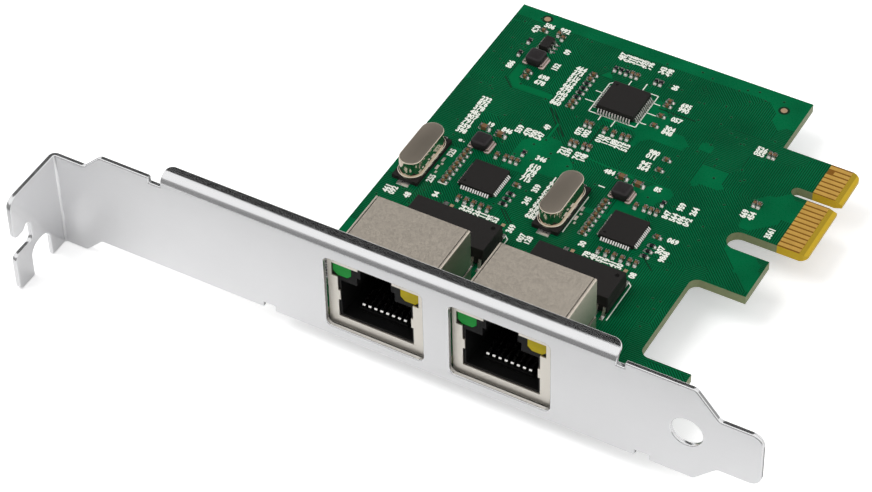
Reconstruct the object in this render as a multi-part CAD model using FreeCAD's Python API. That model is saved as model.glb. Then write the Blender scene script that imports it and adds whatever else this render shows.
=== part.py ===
import FreeCAD, Part
import math
import os

from FreeCAD import Vector

# Two-port network interface card for a one-lane expansion slot, in millimetres.
# Origin: outer end of the edge-connector tongue, middle of the key notch, middle of the board.
# +X points into the slot, +Y away from the bracket, +Z out of the component side.

# Circuit board
board_thickness = 1.57
board_left_x = -65.6
board_right_x = -13.3
board_front_y = -55.7
board_back_y = 19.5
tongue_front_y = -12.15
tongue_back_y = 8.15
tongue_corner_radius = 1.0
bevel_length = 1.25
bevel_depth = 0.5
key_notch_width = 1.9
key_notch_depth = 8.1
retainer_slot_width = 3.75
retainer_slot_depth = 12.4
retainer_hook_width = 8.4
retainer_hook_end_x = -4.5
retainer_hook_radius = 1.5
foot_back_y = -42.35
foot_end_x = -4.7

# Gold contact fingers
finger_pitch = 1.0
finger_width = 0.7
finger_start_x = -5.0
finger_end_x = -1.3
finger_thickness = 0.04
finger_first_y = 1.5
finger_front_count = 11
finger_back_count = 7
short_finger_number = 6
short_finger_start_x = -3.9

# Bracket, folded from one sheet
sheet = 0.86
bracket_front_y = -57.15
bracket_above_board = 14.47
bracket_width = 18.42
tab_outer_x = -106.68
tab_bend = 0.4
neck_drop = 3.08
neck_step_top_x = -100.4
neck_step_bottom_x = -101.8
neck_corner_radius = 0.9
tongue_end_x = 13.34
end_tongue_width = 10.19
end_tongue_drop = 4.55
end_slope_top_x = 2.6
end_slope_top_run = 3.9
end_slope_bottom_x = 2.9
end_slope_bottom_run = 3.6
end_slope_radius = 1.0
end_corner_radius = 1.9
screw_hole_x = 1.52
screw_hole_drop = 9.27
screw_hole_radius = 2.54

# Rolled upper edge of the bracket
roll_left_x = -86.4
roll_right_x = -9.8
roll_rise = 1.165
roll_depth = 3.1
roll_bend = 0.84
roll_left_radius = 1.2
roll_right_radius = 1.8
roll_notch_depth = 1.06
roll_notch_left = 2.0
roll_notch_right = 1.3

# Lower lip of the bracket, with two ears that reach up to the board
lip_left_x = -67.3
lip_right_x = -6.5
lip_notch_left = 2.0
lip_notch_right = 2.3
lip_root = 0.15
lip_depth = 3.4
ear_width = 6.4
ear_side_gap = 0.2
ear_start_y = -55.2
ear_end_y = -45.9

# Screws through the board into the ears
screw_radius = 1.45
screw_thread_gap = 0.05
screw_board_gap = 0.15
screw_head_across = 5.0
screw_head_height = 1.7
screw_tip = 0.8
screw_y = -49.3

# Tab that is screwed to the chassis
tab_depth = 11.95
tab_front_radius = 1.8
tab_slot_width = 4.15
tab_slot_bottom_z = 0.95
tab_slot_end_y = -64.9
tab_lobe_drop = 0.85
tab_lobe_length = 2.3
tab_hook_back_y = -65.5
tab_slot_radius = 1.0
tab_notch_width = 4.9
tab_notch_depth = 5.8
tab_notch_radius = 2.1
hook_reach = 0.4

# Modular jacks
jack_x = (-50.1, -29.0)
jack_face_y = -55.9
jack_width = 16.2
jack_depth = 14.5
jack_above_board = 11.265
jack_below_board = 2.535
jack_shelf = 2.8
jack_notch_gap = 0.1
shield_sheet = 0.25
shield_bend = 0.0
housing_gap = 0.03
mouth_half = 6.4
mouth_sill = 1.95
window_side_wall = 0.7
window_sill = 10.15
window_head = 12.75
latch_half = 2.9
latch_head = 13.25
side_bump_sill = 5.45
side_bump_head = 7.35
side_bump_half = 6.05
side_slot_sill = 5.85
side_slot_height = 0.65
side_slot_length = 4.1
seam_inset = 0.45
seam_width = 0.12
seam_start = 0.7
shield_tab_inset = 1.6
shield_tab_width = 1.4
tail_length = 1.4
shield_slot_gap = 0.15

# Plug cavity and spring contacts inside a jack
cavity_half = 6.0
cavity_floor = 2.35
cavity_head = 9.4
cavity_back_wall = 0.7
step_half = 3.2
step_head = 11.05
latch_recess_half = 2.6
latch_recess_head = 13.05
latch_recess_depth = 7.0
floor_under_wires = 0.4
comb_back_wall = 0.1
comb_run_in = 0.2
comb_opening_rise = 0.5
wire = 0.42
wire_pitch = 1.016
wire_count = 8
wire_slot_gap = 0.1
wire_front_depth = 2.6
wire_tip_clearance = 0.6
wire_tip_height = 4.75
wire_nose_height = 3.15
wire_run_height = 1.6
wire_riser_inset = 0.4
wire_bridge_height = 0.65
pin_insets = (1.8, 0.8)
pin_hole_gap = 0.12

# Indicator lamps of a jack
lamp_width = 3.1
lamp_height = 2.3
lamp_side_wall = 0.8
lamp_sill = 10.25
lamp_front = 0.3
lamp_depth = 6.1
lamp_corner_cut = 0.7
lamp_gap = 0.05
lamp_lead_spacing = 1.3
lamp_lead_height = 11.4
lamp_pin_inset = 1.15

# Openings of the bracket over the jacks
port_shift = 0.3
port_side_gap = 0.25
port_low_gap = 0.45
port_high_gap = 0.8
jack_lip_gap = 0.3
port_radius = 1.0

# Transformer modules
transformer_shift = 0.55
transformer_y = -34.25
transformer_length = 14.9
transformer_depth = 6.3
transformer_height = 3.42
transformer_standoff = 0.15
transformer_lead_pitch = 1.27
transformer_lead_count = 12
transformer_lead_width = 0.42
transformer_lead_sheet = 0.2
transformer_lead_shoulder = 0.0
transformer_lead_knee = 0.6
transformer_lead_reach = 1.35
transformer_lead_height = 1.5
moulding_draft = 0.1

# Crystals
crystal_places = ((-61.95, -21.2), (-37.6, -20.55))
crystal_base_width = 4.5
crystal_base_length = 11.2
crystal_base_height = 0.75
crystal_flange_width = 4.4
crystal_flange_length = 11.0
crystal_flange_height = 0.35
crystal_can_width = 3.85
crystal_can_length = 10.5
crystal_height = 3.7
crystal_terminal_width = 2.0
crystal_terminal_sheet = 0.15
crystal_terminal_inside = 2.4
crystal_terminal_outside = 0.85

# Network controllers, flat packages with solder along their sides
controller_places = ((-51.2, -20.55), (-26.85, -20.45))
controller_size = 5.95
controller_height = 0.85
controller_joint_pitch = 0.42
controller_joint_count = 12
controller_joint_width = 0.22
controller_joint_reach = 0.45
controller_joint_height = 0.4

# Switch chip with gull-wing leads
switch_place = (-40.0, 5.35)
switch_size = 6.6
switch_height = 1.25
switch_standoff = 0.1
switch_lead_pitch = 0.5
switch_lead_count = 12
switch_lead_width = 0.22
switch_lead_sheet = 0.13
switch_lead_shoulder = 0.0
switch_lead_knee = 0.35
switch_lead_reach = 0.78
switch_lead_height = 0.6

# Choke coils
choke_places = ((-55.3, -13.8), (-30.7, -13.5), (-57.1, 7.8))
choke_size = 2.9
choke_height = 1.75
choke_base_height = 0.75
choke_waist_inset = 0.25
choke_corner_cut = 0.6
choke_edge = 0.3
choke_terminal_width = 2.3
choke_terminal_thickness = 0.5

# Voltage regulator
regulator_place = (-57.3, 11.9)
regulator_width = 1.6
regulator_length = 2.9
regulator_standoff = 0.1
regulator_height = 1.15
regulator_lead_pitch = 0.95
regulator_lead_count = 3
regulator_lead_width = 0.4
regulator_lead_sheet = 0.15
regulator_lead_shoulder = 0.18
regulator_lead_knee = 0.3
regulator_lead_reach = 0.6
regulator_lead_height = 0.55

# Chip capacitors and resistors: length, width, height, and length of each end cap
small_capacitor = (1.0, 0.5, 0.5, 0.25)
large_capacitor = (1.6, 0.8, 0.7, 0.35)
small_resistor = (1.0, 0.5, 0.35, 0.22)
end_cap_overhang = 0.03

# Rows of chips about a controller: first centre, step, count, and the axis of their length
controller_rows = (
    ("capacitor", small_capacitor, (-5.4, -3.4), (0.0, 1.13), 8, "X"),
    ("capacitor", small_capacitor, (-1.5, -5.5), (1.3, 0.0), 5, "Y"),
    ("capacitor", small_capacitor, (-0.9, 5.8), (0.0, 0.0), 1, "Y"),
    ("capacitor", small_capacitor, (0.6, 6.0), (1.0, 0.0), 3, "Y"),
    ("resistor", small_resistor, (5.2, -0.9), (0.0, -1.25), 3, "X"),
    ("capacitor", small_capacitor, (5.1, 1.2), (0.0, 0.0), 1, "X"),
    ("capacitor", large_capacitor, (-5.6, 10.4), (0.0, 0.0), 1, "X"),
    ("capacitor", large_capacitor, (-2.6, 10.1), (0.0, 0.0), 1, "X"),
    ("resistor", small_resistor, (2.6, 8.2), (0.0, 0.0), 1, "Y"),
)

# The other rows of chips, placed in the board's own frame
board_rows = (
    ("capacitor", small_capacitor, (-22.1, -25.9), (0.0, 0.0), 1, "Y"),
    ("capacitor", small_capacitor, (-47.3, 0.8), (0.0, 1.2), 2, "X"),
    ("resistor", small_resistor, (-47.3, 3.2), (0.0, 1.2), 4, "X"),
    ("capacitor", small_capacitor, (-47.3, 8.0), (0.0, 1.2), 2, "X"),
    ("resistor", small_resistor, (-44.9, 12.2), (1.0, 0.0), 3, "Y"),
    ("capacitor", small_capacitor, (-41.9, 12.2), (0.9, 0.0), 2, "Y"),
    ("resistor", small_resistor, (-37.8, 12.5), (0.9, 0.0), 2, "Y"),
    ("capacitor", small_capacitor, (-33.6, 9.2), (0.0, -1.1), 2, "X"),
    ("capacitor", small_capacitor, (-33.4, 5.5), (0.0, -2.5), 2, "X"),
    ("capacitor", small_capacitor, (-43.1, -1.6), (0.85, 0.0), 2, "Y"),
    ("capacitor", small_capacitor, (-39.75, -1.6), (1.5, 0.0), 3, "Y"),
    ("capacitor", small_capacitor, (-35.8, -1.5), (0.0, 0.0), 1, "Y"),
    ("capacitor", small_capacitor, (-43.2, -6.6), (0.85, 0.0), 2, "Y"),
    ("capacitor", small_capacitor, (-41.0, -6.4), (0.9, 0.0), 2, "Y"),
    ("capacitor", small_capacitor, (-28.1, -3.2), (0.0, -2.6), 2, "X"),
    ("capacitor", small_capacitor, (-57.0, 4.9), (0.1, -1.3), 2, "X"),
    ("capacitor", small_capacitor, (-59.5, 15.0), (0.0, 0.0), 1, "X"),
    ("capacitor", small_capacitor, (-56.9, 15.4), (1.0, -0.6), 2, "Y"),
    ("resistor", small_resistor, (-60.4, 11.7), (0.0, -3.4), 2, "Y"),
    ("capacitor", small_capacitor, (-14.4, 5.5), (0.75, 0.0), 2, "Y"),
    ("capacitor", small_capacitor, (-11.8, -5.6), (0.75, 0.0), 2, "Y"),
)

# How far a cut runs past the face that it opens, and how round a round end is
cut_past = 1.0
round_end_share = 0.99

# Places that follow from the sizes above
board_top = board_thickness / 2
board_bottom = -board_thickness / 2
bracket_back_y = bracket_front_y + sheet
bracket_top_z = board_top + bracket_above_board
bracket_bottom_z = bracket_top_z - bracket_width
neck_top_z = bracket_top_z - neck_drop
neck_bottom_z = bracket_bottom_z - neck_drop
end_top_z = bracket_top_z - end_tongue_drop
end_bottom_z = end_top_z - end_tongue_width
screw_hole_z = bracket_top_z - screw_hole_drop
roll_top_z = bracket_top_z + roll_rise
roll_start_z = roll_top_z - roll_bend - sheet
roll_notch_z = bracket_top_z - roll_notch_depth
lip_start_z = bracket_bottom_z + sheet + lip_root
jack_top_z = board_top + jack_above_board
jack_bottom_z = board_top - jack_below_board
jack_shoulder = jack_depth - jack_shelf
cavity_depth = jack_shoulder - cavity_back_wall
wire_tip_depth = cavity_depth - wire_tip_clearance
wire_riser_depth = jack_shoulder - wire_riser_inset
tail_z = board_bottom - tail_length
pin_depths = [jack_depth - inset for inset in pin_insets]
lamp_pin_depth = jack_depth - lamp_pin_inset
shield_tab_depth = jack_depth - shield_tab_inset
window_half = jack_width / 2 - window_side_wall
lamp_inner_x = jack_width / 2 - lamp_side_wall - lamp_width
screw_x = (board_left_x + ear_side_gap + ear_width / 2, lip_right_x - ear_width / 2)


# Shapes that several pieces share

def box(x0, x1, y0, y1, z0, z1):
    """Block between two corners."""
    return Part.makeBox(x1 - x0, y1 - y0, z1 - z0, Vector(x0, y0, z0))


def upright_cylinder(x, y, radius, z0, z1):
    return Part.makeCylinder(radius, z1 - z0, Vector(x, y, z0))


def rounded_wire(corners, place):
    """Closed wire through (u, v, radius) corners; place turns a flat point into one in space."""
    points = [Vector(u, v, 0) for u, v, radius in corners]
    arcs = []
    for i, (u, v, radius) in enumerate(corners):
        here = points[i]
        back = (points[i - 1] - here).normalize()
        ahead = (points[(i + 1) % len(points)] - here).normalize()
        half = back.getAngle(ahead) / 2
        reach = radius / math.tan(half)
        crown = (back + ahead) * ((radius / math.sin(half) - radius) / (back + ahead).Length)
        arcs.append((here + back * reach, here + crown, here + ahead * reach))
    edges = []
    for i, (start, middle, end) in enumerate(arcs):
        if corners[i][2] > 0:
            edges.append(Part.Arc(place(start), place(middle), place(end)).toShape())
        following = arcs[(i + 1) % len(arcs)][0]
        if end.distanceToPoint(following) > 1e-6:
            edges.append(Part.makeLine(place(end), place(following)))
    return Part.Wire(edges)


def prism(corners, plane, start, end):
    """Solid with a rounded outline in one plane, from start to end along the third axis."""
    places = {"XY": lambda p: Vector(p.x, p.y, start),
              "XZ": lambda p: Vector(p.x, start, p.y),
              "YZ": lambda p: Vector(start, p.x, p.y)}
    reaches = {"XY": Vector(0, 0, end - start),
               "XZ": Vector(0, end - start, 0),
               "YZ": Vector(end - start, 0, 0)}
    solid = Part.Face(rounded_wire(corners, places[plane])).extrude(reaches[plane])
    return solid if solid.Volume > 0 else solid.reversed()


def strip(path, thickness, plane, start, end):
    """Bent strip: path is its right-hand face, as (u, v, inner radius of the bend there)."""
    points = [Vector(u, v, 0) for u, v, bend in path]
    headings = [(b - a).normalize() for a, b in zip(points, points[1:])]
    right_face = []
    left_face = []
    for i, point in enumerate(points):
        before = headings[max(i - 1, 0)]
        after = headings[min(i, len(headings) - 1)]
        sides = Vector(-before.y - after.y, before.x + after.x, 0)
        left = point + sides * (thickness / (1 + before.dot(after)))
        turn = before.cross(after).z
        bend = path[i][2]
        inner, outer = (bend, bend + thickness) if bend > 0 else (0, 0)
        right_face.append((point.x, point.y, outer if turn > 0 else inner))
        left_face.append((left.x, left.y, inner if turn > 0 else outer))
    return prism(right_face + left_face[::-1], plane, start, end)


def rectangle(u0, u1, v0, v1, radius=0):
    """Corners of a rectangle, all with one radius."""
    return [(u0, v0, radius), (u1, v0, radius), (u1, v1, radius), (u0, v1, radius)]


def moved(shape, x, y=0.0, z=0.0):
    """Copy of a shape, shifted."""
    copy = shape.copy()
    copy.translate(Vector(x, y, z))
    return copy


def turned(shape, degrees):
    """Copy of a shape, turned about the Z axis."""
    copy = shape.copy()
    copy.rotate(Vector(0, 0, 0), Vector(0, 0, 1), degrees)
    return copy


# Circuit board

def board_outline():
    """Corners of the board: foot, retainer hook, keyed tongue and square back."""
    slot_front_y = tongue_front_y - retainer_slot_width
    hook_front_y = slot_front_y - retainer_hook_width
    slot_round = round_end_share * retainer_slot_width / 2
    key = key_notch_width / 2
    key_round = round_end_share * key
    return [
        (board_left_x, board_front_y, 0),
        (foot_end_x, board_front_y, 0),
        (foot_end_x, foot_back_y, 0),
        (board_right_x, foot_back_y, retainer_hook_radius),
        (board_right_x, hook_front_y, retainer_hook_radius),
        (retainer_hook_end_x, hook_front_y, 0),
        (retainer_hook_end_x, slot_front_y, 0),
        (-retainer_slot_depth, slot_front_y, slot_round),
        (-retainer_slot_depth, tongue_front_y, slot_round),
        (0, tongue_front_y, tongue_corner_radius),
        (0, -key, 0),
        (-key_notch_depth, -key, key_round),
        (-key_notch_depth, key, key_round),
        (0, key, 0),
        (0, tongue_back_y, tongue_corner_radius),
        (board_right_x, tongue_back_y, 0),
        (board_right_x, board_back_y, 0),
        (board_left_x, board_back_y, 0),
    ]


def jack_cutouts(x):
    """What one jack takes out of the board: its notch, its pin holes and its two tab slots."""
    low = board_bottom - cut_past
    high = board_top + cut_past
    half = jack_width / 2 + jack_notch_gap
    notch_end = jack_face_y + jack_shoulder + jack_notch_gap
    cuts = [box(x - half, x + half, board_front_y - cut_past, notch_end, low, high)]
    pins = [(wire_x(k), pin_depths[k % 2]) for k in range(wire_count)]
    pins += [(lead_x, lamp_pin_depth) for lead_x in lamp_lead_xs()]
    pin_half = wire / 2 + pin_hole_gap
    slots = [(pin_x, jack_face_y + pin_depth, pin_half, pin_half) for pin_x, pin_depth in pins]
    tab_x = (jack_width - shield_sheet) / 2
    tab_y = jack_face_y + shield_tab_depth
    slots += [(side * tab_x, tab_y, shield_sheet / 2 + shield_slot_gap,
               shield_tab_width / 2 + shield_slot_gap) for side in (-1, 1)]
    for slot_x, slot_y, wide, long in slots:
        cuts.append(box(x + slot_x - wide, x + slot_x + wide,
                        slot_y - long, slot_y + long, low, high))
    return cuts


def circuit_board():
    board = prism(board_outline(), "XY", board_bottom, board_top)
    for face, inward in ((board_top, -1), (board_bottom, 1)):
        wedge = [(-bevel_length, face, 0), (0, face, 0), (0, face + inward * bevel_depth, 0)]
        board = board.cut(prism(wedge, "XZ", tongue_front_y, tongue_back_y))
    cuts = []
    for x in jack_x:
        cuts += jack_cutouts(x)
    for x in screw_x:
        cuts.append(upright_cylinder(x, screw_y, screw_radius + screw_board_gap,
                                     board_bottom - cut_past, board_top + cut_past))
    return board.cut(cuts)


def fingers(base_z, top_z, with_short):
    """Row of contact fingers on one face of the tongue."""
    rows = [(-1, finger_front_count), (1, finger_back_count)]
    pads = []
    for side, count in rows:
        for k in range(count):
            y = side * (finger_first_y + k * finger_pitch)
            is_short = with_short and side > 0 and k == short_finger_number - 1
            start = short_finger_start_x if is_short else finger_start_x
            half = finger_width / 2
            pads.append(box(start, finger_end_x, y - half, y + half, base_z, top_z))
    return Part.makeCompound(pads)


# Bracket

def plate_outline():
    """Corners of the flat front, from the tab's bend round to the end tongue."""
    start_x = tab_outer_x + tab_bend + sheet
    round_neck = neck_corner_radius
    round_slope = end_slope_radius
    return [
        (start_x, neck_bottom_z, 0),
        (neck_step_bottom_x, neck_bottom_z, round_neck),
        (neck_step_bottom_x + neck_drop, bracket_bottom_z, round_neck),
        (lip_left_x - lip_notch_left, bracket_bottom_z, 0),
        (lip_left_x - lip_notch_left, lip_start_z, 0),
        (lip_right_x + lip_notch_right, lip_start_z, 0),
        (lip_right_x + lip_notch_right, bracket_bottom_z, 0),
        (end_slope_bottom_x, bracket_bottom_z, round_slope),
        (end_slope_bottom_x + end_slope_bottom_run, end_bottom_z, round_slope),
        (tongue_end_x, end_bottom_z, end_corner_radius),
        (tongue_end_x, end_top_z, end_corner_radius),
        (end_slope_top_x + end_slope_top_run, end_top_z, round_slope),
        (end_slope_top_x, bracket_top_z, round_slope),
        (roll_right_x + roll_notch_right, bracket_top_z, 0),
        (roll_right_x + roll_notch_right, roll_notch_z, 0),
        (roll_right_x, roll_notch_z, 0),
        (roll_right_x, roll_start_z, 0),
        (roll_left_x, roll_start_z, 0),
        (roll_left_x, roll_notch_z, 0),
        (roll_left_x - roll_notch_left, roll_notch_z, 0),
        (roll_left_x - roll_notch_left, bracket_top_z, 0),
        (neck_step_top_x + neck_drop, bracket_top_z, round_neck),
        (neck_step_top_x, neck_top_z, round_neck),
        (start_x, neck_top_z, 0),
    ]


def tab_outline():
    """Corners of the tab, as (y, z, radius): rounded front, screw slot, hook and lower notch."""
    start_y = bracket_front_y - tab_bend
    front_y = bracket_front_y - tab_depth
    hook_front_y = front_y - hook_reach
    slot_top_z = tab_slot_bottom_z + tab_slot_width
    lobe_z = slot_top_z - tab_lobe_drop
    notch_y = tab_hook_back_y + tab_notch_width
    notch_top_z = neck_bottom_z + tab_notch_depth
    return [
        (start_y, neck_top_z, 0),
        (front_y, neck_top_z, tab_front_radius),
        (front_y, lobe_z, tab_slot_radius),
        (front_y + tab_lobe_length, lobe_z, 0),
        (front_y + tab_lobe_length + tab_lobe_drop, slot_top_z, 0),
        (tab_slot_end_y, slot_top_z, tab_slot_radius),
        (tab_slot_end_y, tab_slot_bottom_z, tab_slot_radius),
        (hook_front_y, tab_slot_bottom_z, tab_slot_radius),
        (hook_front_y, neck_bottom_z, tab_slot_radius),
        (tab_hook_back_y, neck_bottom_z, 0),
        (tab_hook_back_y, notch_top_z, tab_notch_radius),
        (notch_y, notch_top_z, tab_notch_radius),
        (notch_y, neck_bottom_z, 0),
        (start_y, neck_bottom_z, 0),
    ]


def rolled_edge():
    path = [(bracket_back_y, roll_start_z, 0),
            (bracket_back_y, roll_top_z - sheet, roll_bend),
            (bracket_front_y + roll_depth, roll_top_z - sheet, 0)]
    roll = strip(path, sheet, "YZ", roll_left_x, roll_right_x)
    plan = [(roll_left_x, bracket_front_y - cut_past, 0),
            (roll_right_x, bracket_front_y - cut_past, 0),
            (roll_right_x, bracket_front_y + roll_depth, roll_right_radius),
            (roll_left_x, bracket_front_y + roll_depth, roll_left_radius)]
    return roll.common(prism(plan, "XY", roll_start_z - cut_past, roll_top_z + cut_past))


def lip_path(end_y):
    """Outer face of the lower lip, from the front plate to end_y."""
    return [(bracket_front_y, lip_start_z, 0),
            (bracket_front_y, bracket_bottom_z, 0),
            (end_y, bracket_bottom_z, 0)]


def ear(x):
    """Ear that leaves the lip, rises to the underside of the board and takes a screw."""
    rise = board_bottom - sheet - bracket_bottom_z
    path = lip_path(ear_start_y) + [(ear_start_y + rise, bracket_bottom_z + rise, 0),
                                    (ear_end_y, bracket_bottom_z + rise, 0)]
    body = strip(path, sheet, "YZ", x - ear_width / 2, x + ear_width / 2)
    return body.cut(upright_cylinder(x, screw_y, screw_radius + screw_thread_gap,
                                     bracket_bottom_z, board_top))


def port_opening(x):
    """Cutter for the opening over one jack."""
    left = x + port_shift - jack_width / 2 - port_side_gap
    right = x + port_shift + jack_width / 2 + port_side_gap
    corners = rectangle(left, right, jack_bottom_z + port_low_gap,
                        jack_top_z + port_high_gap, port_radius)
    return prism(corners, "XZ", bracket_front_y - cut_past, bracket_back_y + cut_past)


def jack_room(x):
    """Space behind the plate that the lip leaves free for one jack."""
    half = jack_width / 2 + jack_lip_gap
    return box(x - half, x + half, bracket_back_y, bracket_front_y + lip_depth + cut_past,
               jack_bottom_z - jack_lip_gap, jack_top_z)


def bracket():
    plate = prism(plate_outline(), "XZ", bracket_front_y, bracket_back_y)
    holes = [port_opening(x) for x in jack_x]
    holes.append(Part.makeCylinder(screw_hole_radius, sheet + 2 * cut_past,
                                   Vector(screw_hole_x, bracket_front_y - cut_past, screw_hole_z),
                                   Vector(0, 1, 0)))
    plate = plate.cut(holes)
    start_x = tab_outer_x + tab_bend + sheet
    fold = strip([(start_x, bracket_back_y, 0), (tab_outer_x, bracket_back_y, tab_bend),
                  (tab_outer_x, bracket_front_y - tab_bend, 0)],
                 sheet, "XY", neck_bottom_z, neck_top_z)
    tab = prism(tab_outline(), "YZ", tab_outer_x, tab_outer_x + sheet)
    lip = strip(lip_path(bracket_front_y + lip_depth), sheet, "YZ", lip_left_x, lip_right_x)
    lip = lip.cut([jack_room(x) for x in jack_x])
    pieces = [fold, tab, rolled_edge(), lip] + [ear(x) for x in screw_x]
    return plate.fuse(pieces).removeSplitter()


def bracket_screws():
    """Two hexagon-head screws, through the board into the ears."""
    top = board_top + screw_head_height
    corner = screw_head_across / math.sqrt(3)
    turns = [math.radians(60 * k) for k in range(6)]
    screws = []
    for x in screw_x:
        outline = [(x + corner * math.cos(turn), screw_y + corner * math.sin(turn), 0)
                   for turn in turns]
        head = prism(outline, "XY", board_top, top)
        shank = upright_cylinder(x, screw_y, screw_radius,
                                 board_bottom - sheet - screw_tip, board_top)
        screws.append(head.fuse(shank))
    return Part.makeCompound(screws)


# Modular jack, built with its middle at x = 0 and its face at y = 0

def wire_x(k):
    return (k - (wire_count - 1) / 2) * wire_pitch


def lamp_lead_xs():
    """Middles of the four lamp leads."""
    middle = lamp_inner_x + lamp_width / 2
    return [side * (middle + step * lamp_lead_spacing / 2) for side in (-1, 1) for step in (-1, 1)]


def jack_shield():
    """Folded shield: mouth and lamp windows, side slots, seams and two solder tabs."""
    half = jack_width / 2
    floor = jack_bottom_z
    profile = [(-half, floor, 0), (half, floor, 0),
               (half, jack_top_z, shield_bend + shield_sheet),
               (-half, jack_top_z, shield_bend + shield_sheet)]
    shell = prism(profile, "XZ", 0, jack_depth)
    inside = [(-half + shield_sheet, floor - 1, 0), (half - shield_sheet, floor - 1, 0),
              (half - shield_sheet, jack_top_z - shield_sheet, shield_bend),
              (-half + shield_sheet, jack_top_z - shield_sheet, shield_bend)]
    hollow = prism(inside, "XZ", shield_sheet, jack_depth - shield_sheet)
    past_back = jack_depth + cut_past
    under_board = box(-half - cut_past, half + cut_past, jack_shoulder, past_back,
                      floor - cut_past, board_top)
    shell = shell.cut([hollow, under_board])
    cuts = [prism(mouth_outline(), "XZ", -cut_past, 2 * shield_sheet)]
    slot_z = floor + side_slot_sill
    seam = half - seam_inset
    added = []
    for side in (-1, 1):
        wall = sorted((side * (half - 2 * shield_sheet), side * (half + cut_past)))
        cuts.append(box(wall[0], wall[1], jack_depth - side_slot_length, past_back,
                        slot_z, slot_z + side_slot_height))
        cuts.append(box(side * seam - seam_width / 2, side * seam + seam_width / 2, seam_start,
                        past_back, jack_top_z - 2 * shield_sheet, jack_top_z + cut_past))
        wall = sorted((side * (half - shield_sheet), side * half))
        added.append(box(wall[0], wall[1], shield_tab_depth - shield_tab_width / 2,
                         shield_tab_depth + shield_tab_width / 2, tail_z, board_top))
    return shell.cut(cuts).fuse(added).removeSplitter()


def mouth_outline():
    """Corners of the opening in the shield's face, symmetric about the middle."""
    floor = jack_bottom_z
    right = [(mouth_half, floor + mouth_sill, 0),
             (mouth_half, floor + side_bump_sill, 0),
             (side_bump_half, floor + side_bump_sill, 0),
             (side_bump_half, floor + side_bump_head, 0),
             (mouth_half, floor + side_bump_head, 0),
             (mouth_half, floor + window_sill, 0),
             (window_half, floor + window_sill, 0),
             (window_half, floor + window_head, 0),
             (latch_half, floor + window_head, 0),
             (latch_half, floor + latch_head, 0)]
    left = [(-x, z, radius) for x, z, radius in right[::-1]]
    return right + left


def lamp_outline(grow):
    """Corners of a lamp on the right of the jack, as (x, z, radius), larger by grow.

    The two lower corners are cut off.
    """
    left = lamp_inner_x - grow
    right = lamp_inner_x + lamp_width + grow
    low = jack_bottom_z + lamp_sill - grow
    high = jack_bottom_z + lamp_sill + lamp_height + grow
    return [(left, low + lamp_corner_cut, 0), (left + lamp_corner_cut, low, 0),
            (right - lamp_corner_cut, low, 0), (right, low + lamp_corner_cut, 0),
            (right, high, 0), (left, high, 0)]


def mirrored(corners):
    """The same corners on the other side of the jack's middle."""
    return [(-x, z, radius) for x, z, radius in corners[::-1]]


def jack_housing():
    """Moulded body: plug cavity, latch recess, contact comb and lamp pockets."""
    half = jack_width / 2 - shield_sheet - housing_gap
    front = shield_sheet + housing_gap
    back = jack_depth - shield_sheet - housing_gap
    floor = jack_bottom_z
    high = jack_top_z - shield_sheet - housing_gap
    profile = [(-half, floor, 0), (half, floor, 0),
               (half, high, shield_bend), (-half, high, shield_bend)]
    body = prism(profile, "XZ", front, back)
    cavity_z = floor + cavity_floor
    before = front - cut_past
    behind = back + cut_past
    cuts = [
        box(-half - cut_past, half + cut_past, jack_shoulder, behind, floor - cut_past, board_top),
        box(-cavity_half, cavity_half, before, cavity_depth, cavity_z, floor + cavity_head),
        box(-step_half, step_half, before, cavity_depth, cavity_z, floor + step_head),
        box(-latch_recess_half, latch_recess_half, before, latch_recess_depth,
            cavity_z, floor + latch_recess_head),
    ]
    slot = wire / 2 + wire_slot_gap
    comb_front = wire_front_depth - slot - comb_run_in
    comb_back = jack_shoulder - comb_back_wall
    run_z = floor + floor_under_wires
    foot_z = board_top - comb_run_in
    open_z = cavity_z + comb_opening_rise
    bridge_z = board_top + wire_bridge_height + wire
    for k in range(wire_count):
        pin = pin_depths[k % 2] + slot
        corners = [(comb_front, open_z, 0), (comb_front, run_z, 0), (comb_back, run_z, 0),
                   (comb_back, foot_z, 0), (pin, foot_z, 0), (pin, bridge_z, 0),
                   (cavity_depth - comb_run_in, bridge_z, 0),
                   (cavity_depth - comb_run_in, open_z, 0)]
        cuts.append(prism(corners, "YZ", wire_x(k) - slot, wire_x(k) + slot))
    pocket = lamp_outline(lamp_gap)
    pocket_end = lamp_front + lamp_depth + lamp_gap
    lead_z = floor + lamp_lead_height
    for corners in (pocket, mirrored(pocket)):
        cuts.append(prism(corners, "XZ", before, pocket_end))
    for x in lamp_lead_xs():
        cuts.append(box(x - slot, x + slot, pocket_end - comb_run_in, behind,
                        lead_z - slot, lead_z + slot))
        cuts.append(box(x - slot, x + slot, lamp_pin_depth - slot, behind,
                        foot_z, lead_z + slot))
    return body.cut(cuts)


def jack_contacts():
    """Eight spring wires, each from its pin under the floor to the bend that meets the plug."""
    wires = []
    half = wire / 2
    bridge = board_top + wire_bridge_height + half
    riser = wire_riser_depth - half
    run = jack_bottom_z + wire_run_height + half
    nose = wire_front_depth + half
    nose_z = jack_bottom_z + wire_nose_height
    slope = (wire_tip_height - wire_nose_height) / (wire_tip_depth - nose)
    for k in range(wire_count):
        pin = pin_depths[k % 2] + half
        path = [(pin, tail_z, 0), (pin, bridge, 0), (riser, bridge, 0), (riser, run, 0),
                (nose, run, 0), (nose, nose_z, 0),
                (wire_tip_depth, nose_z + slope * (wire_tip_depth - nose), 0)]
        wires.append(strip(path, wire, "YZ", wire_x(k) - half, wire_x(k) + half))
    return Part.makeCompound(wires)


def lamp():
    """Lamp on the right of a jack: a lens with its lower corners cut."""
    return prism(lamp_outline(0), "XZ", lamp_front, lamp_front + lamp_depth)


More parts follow.
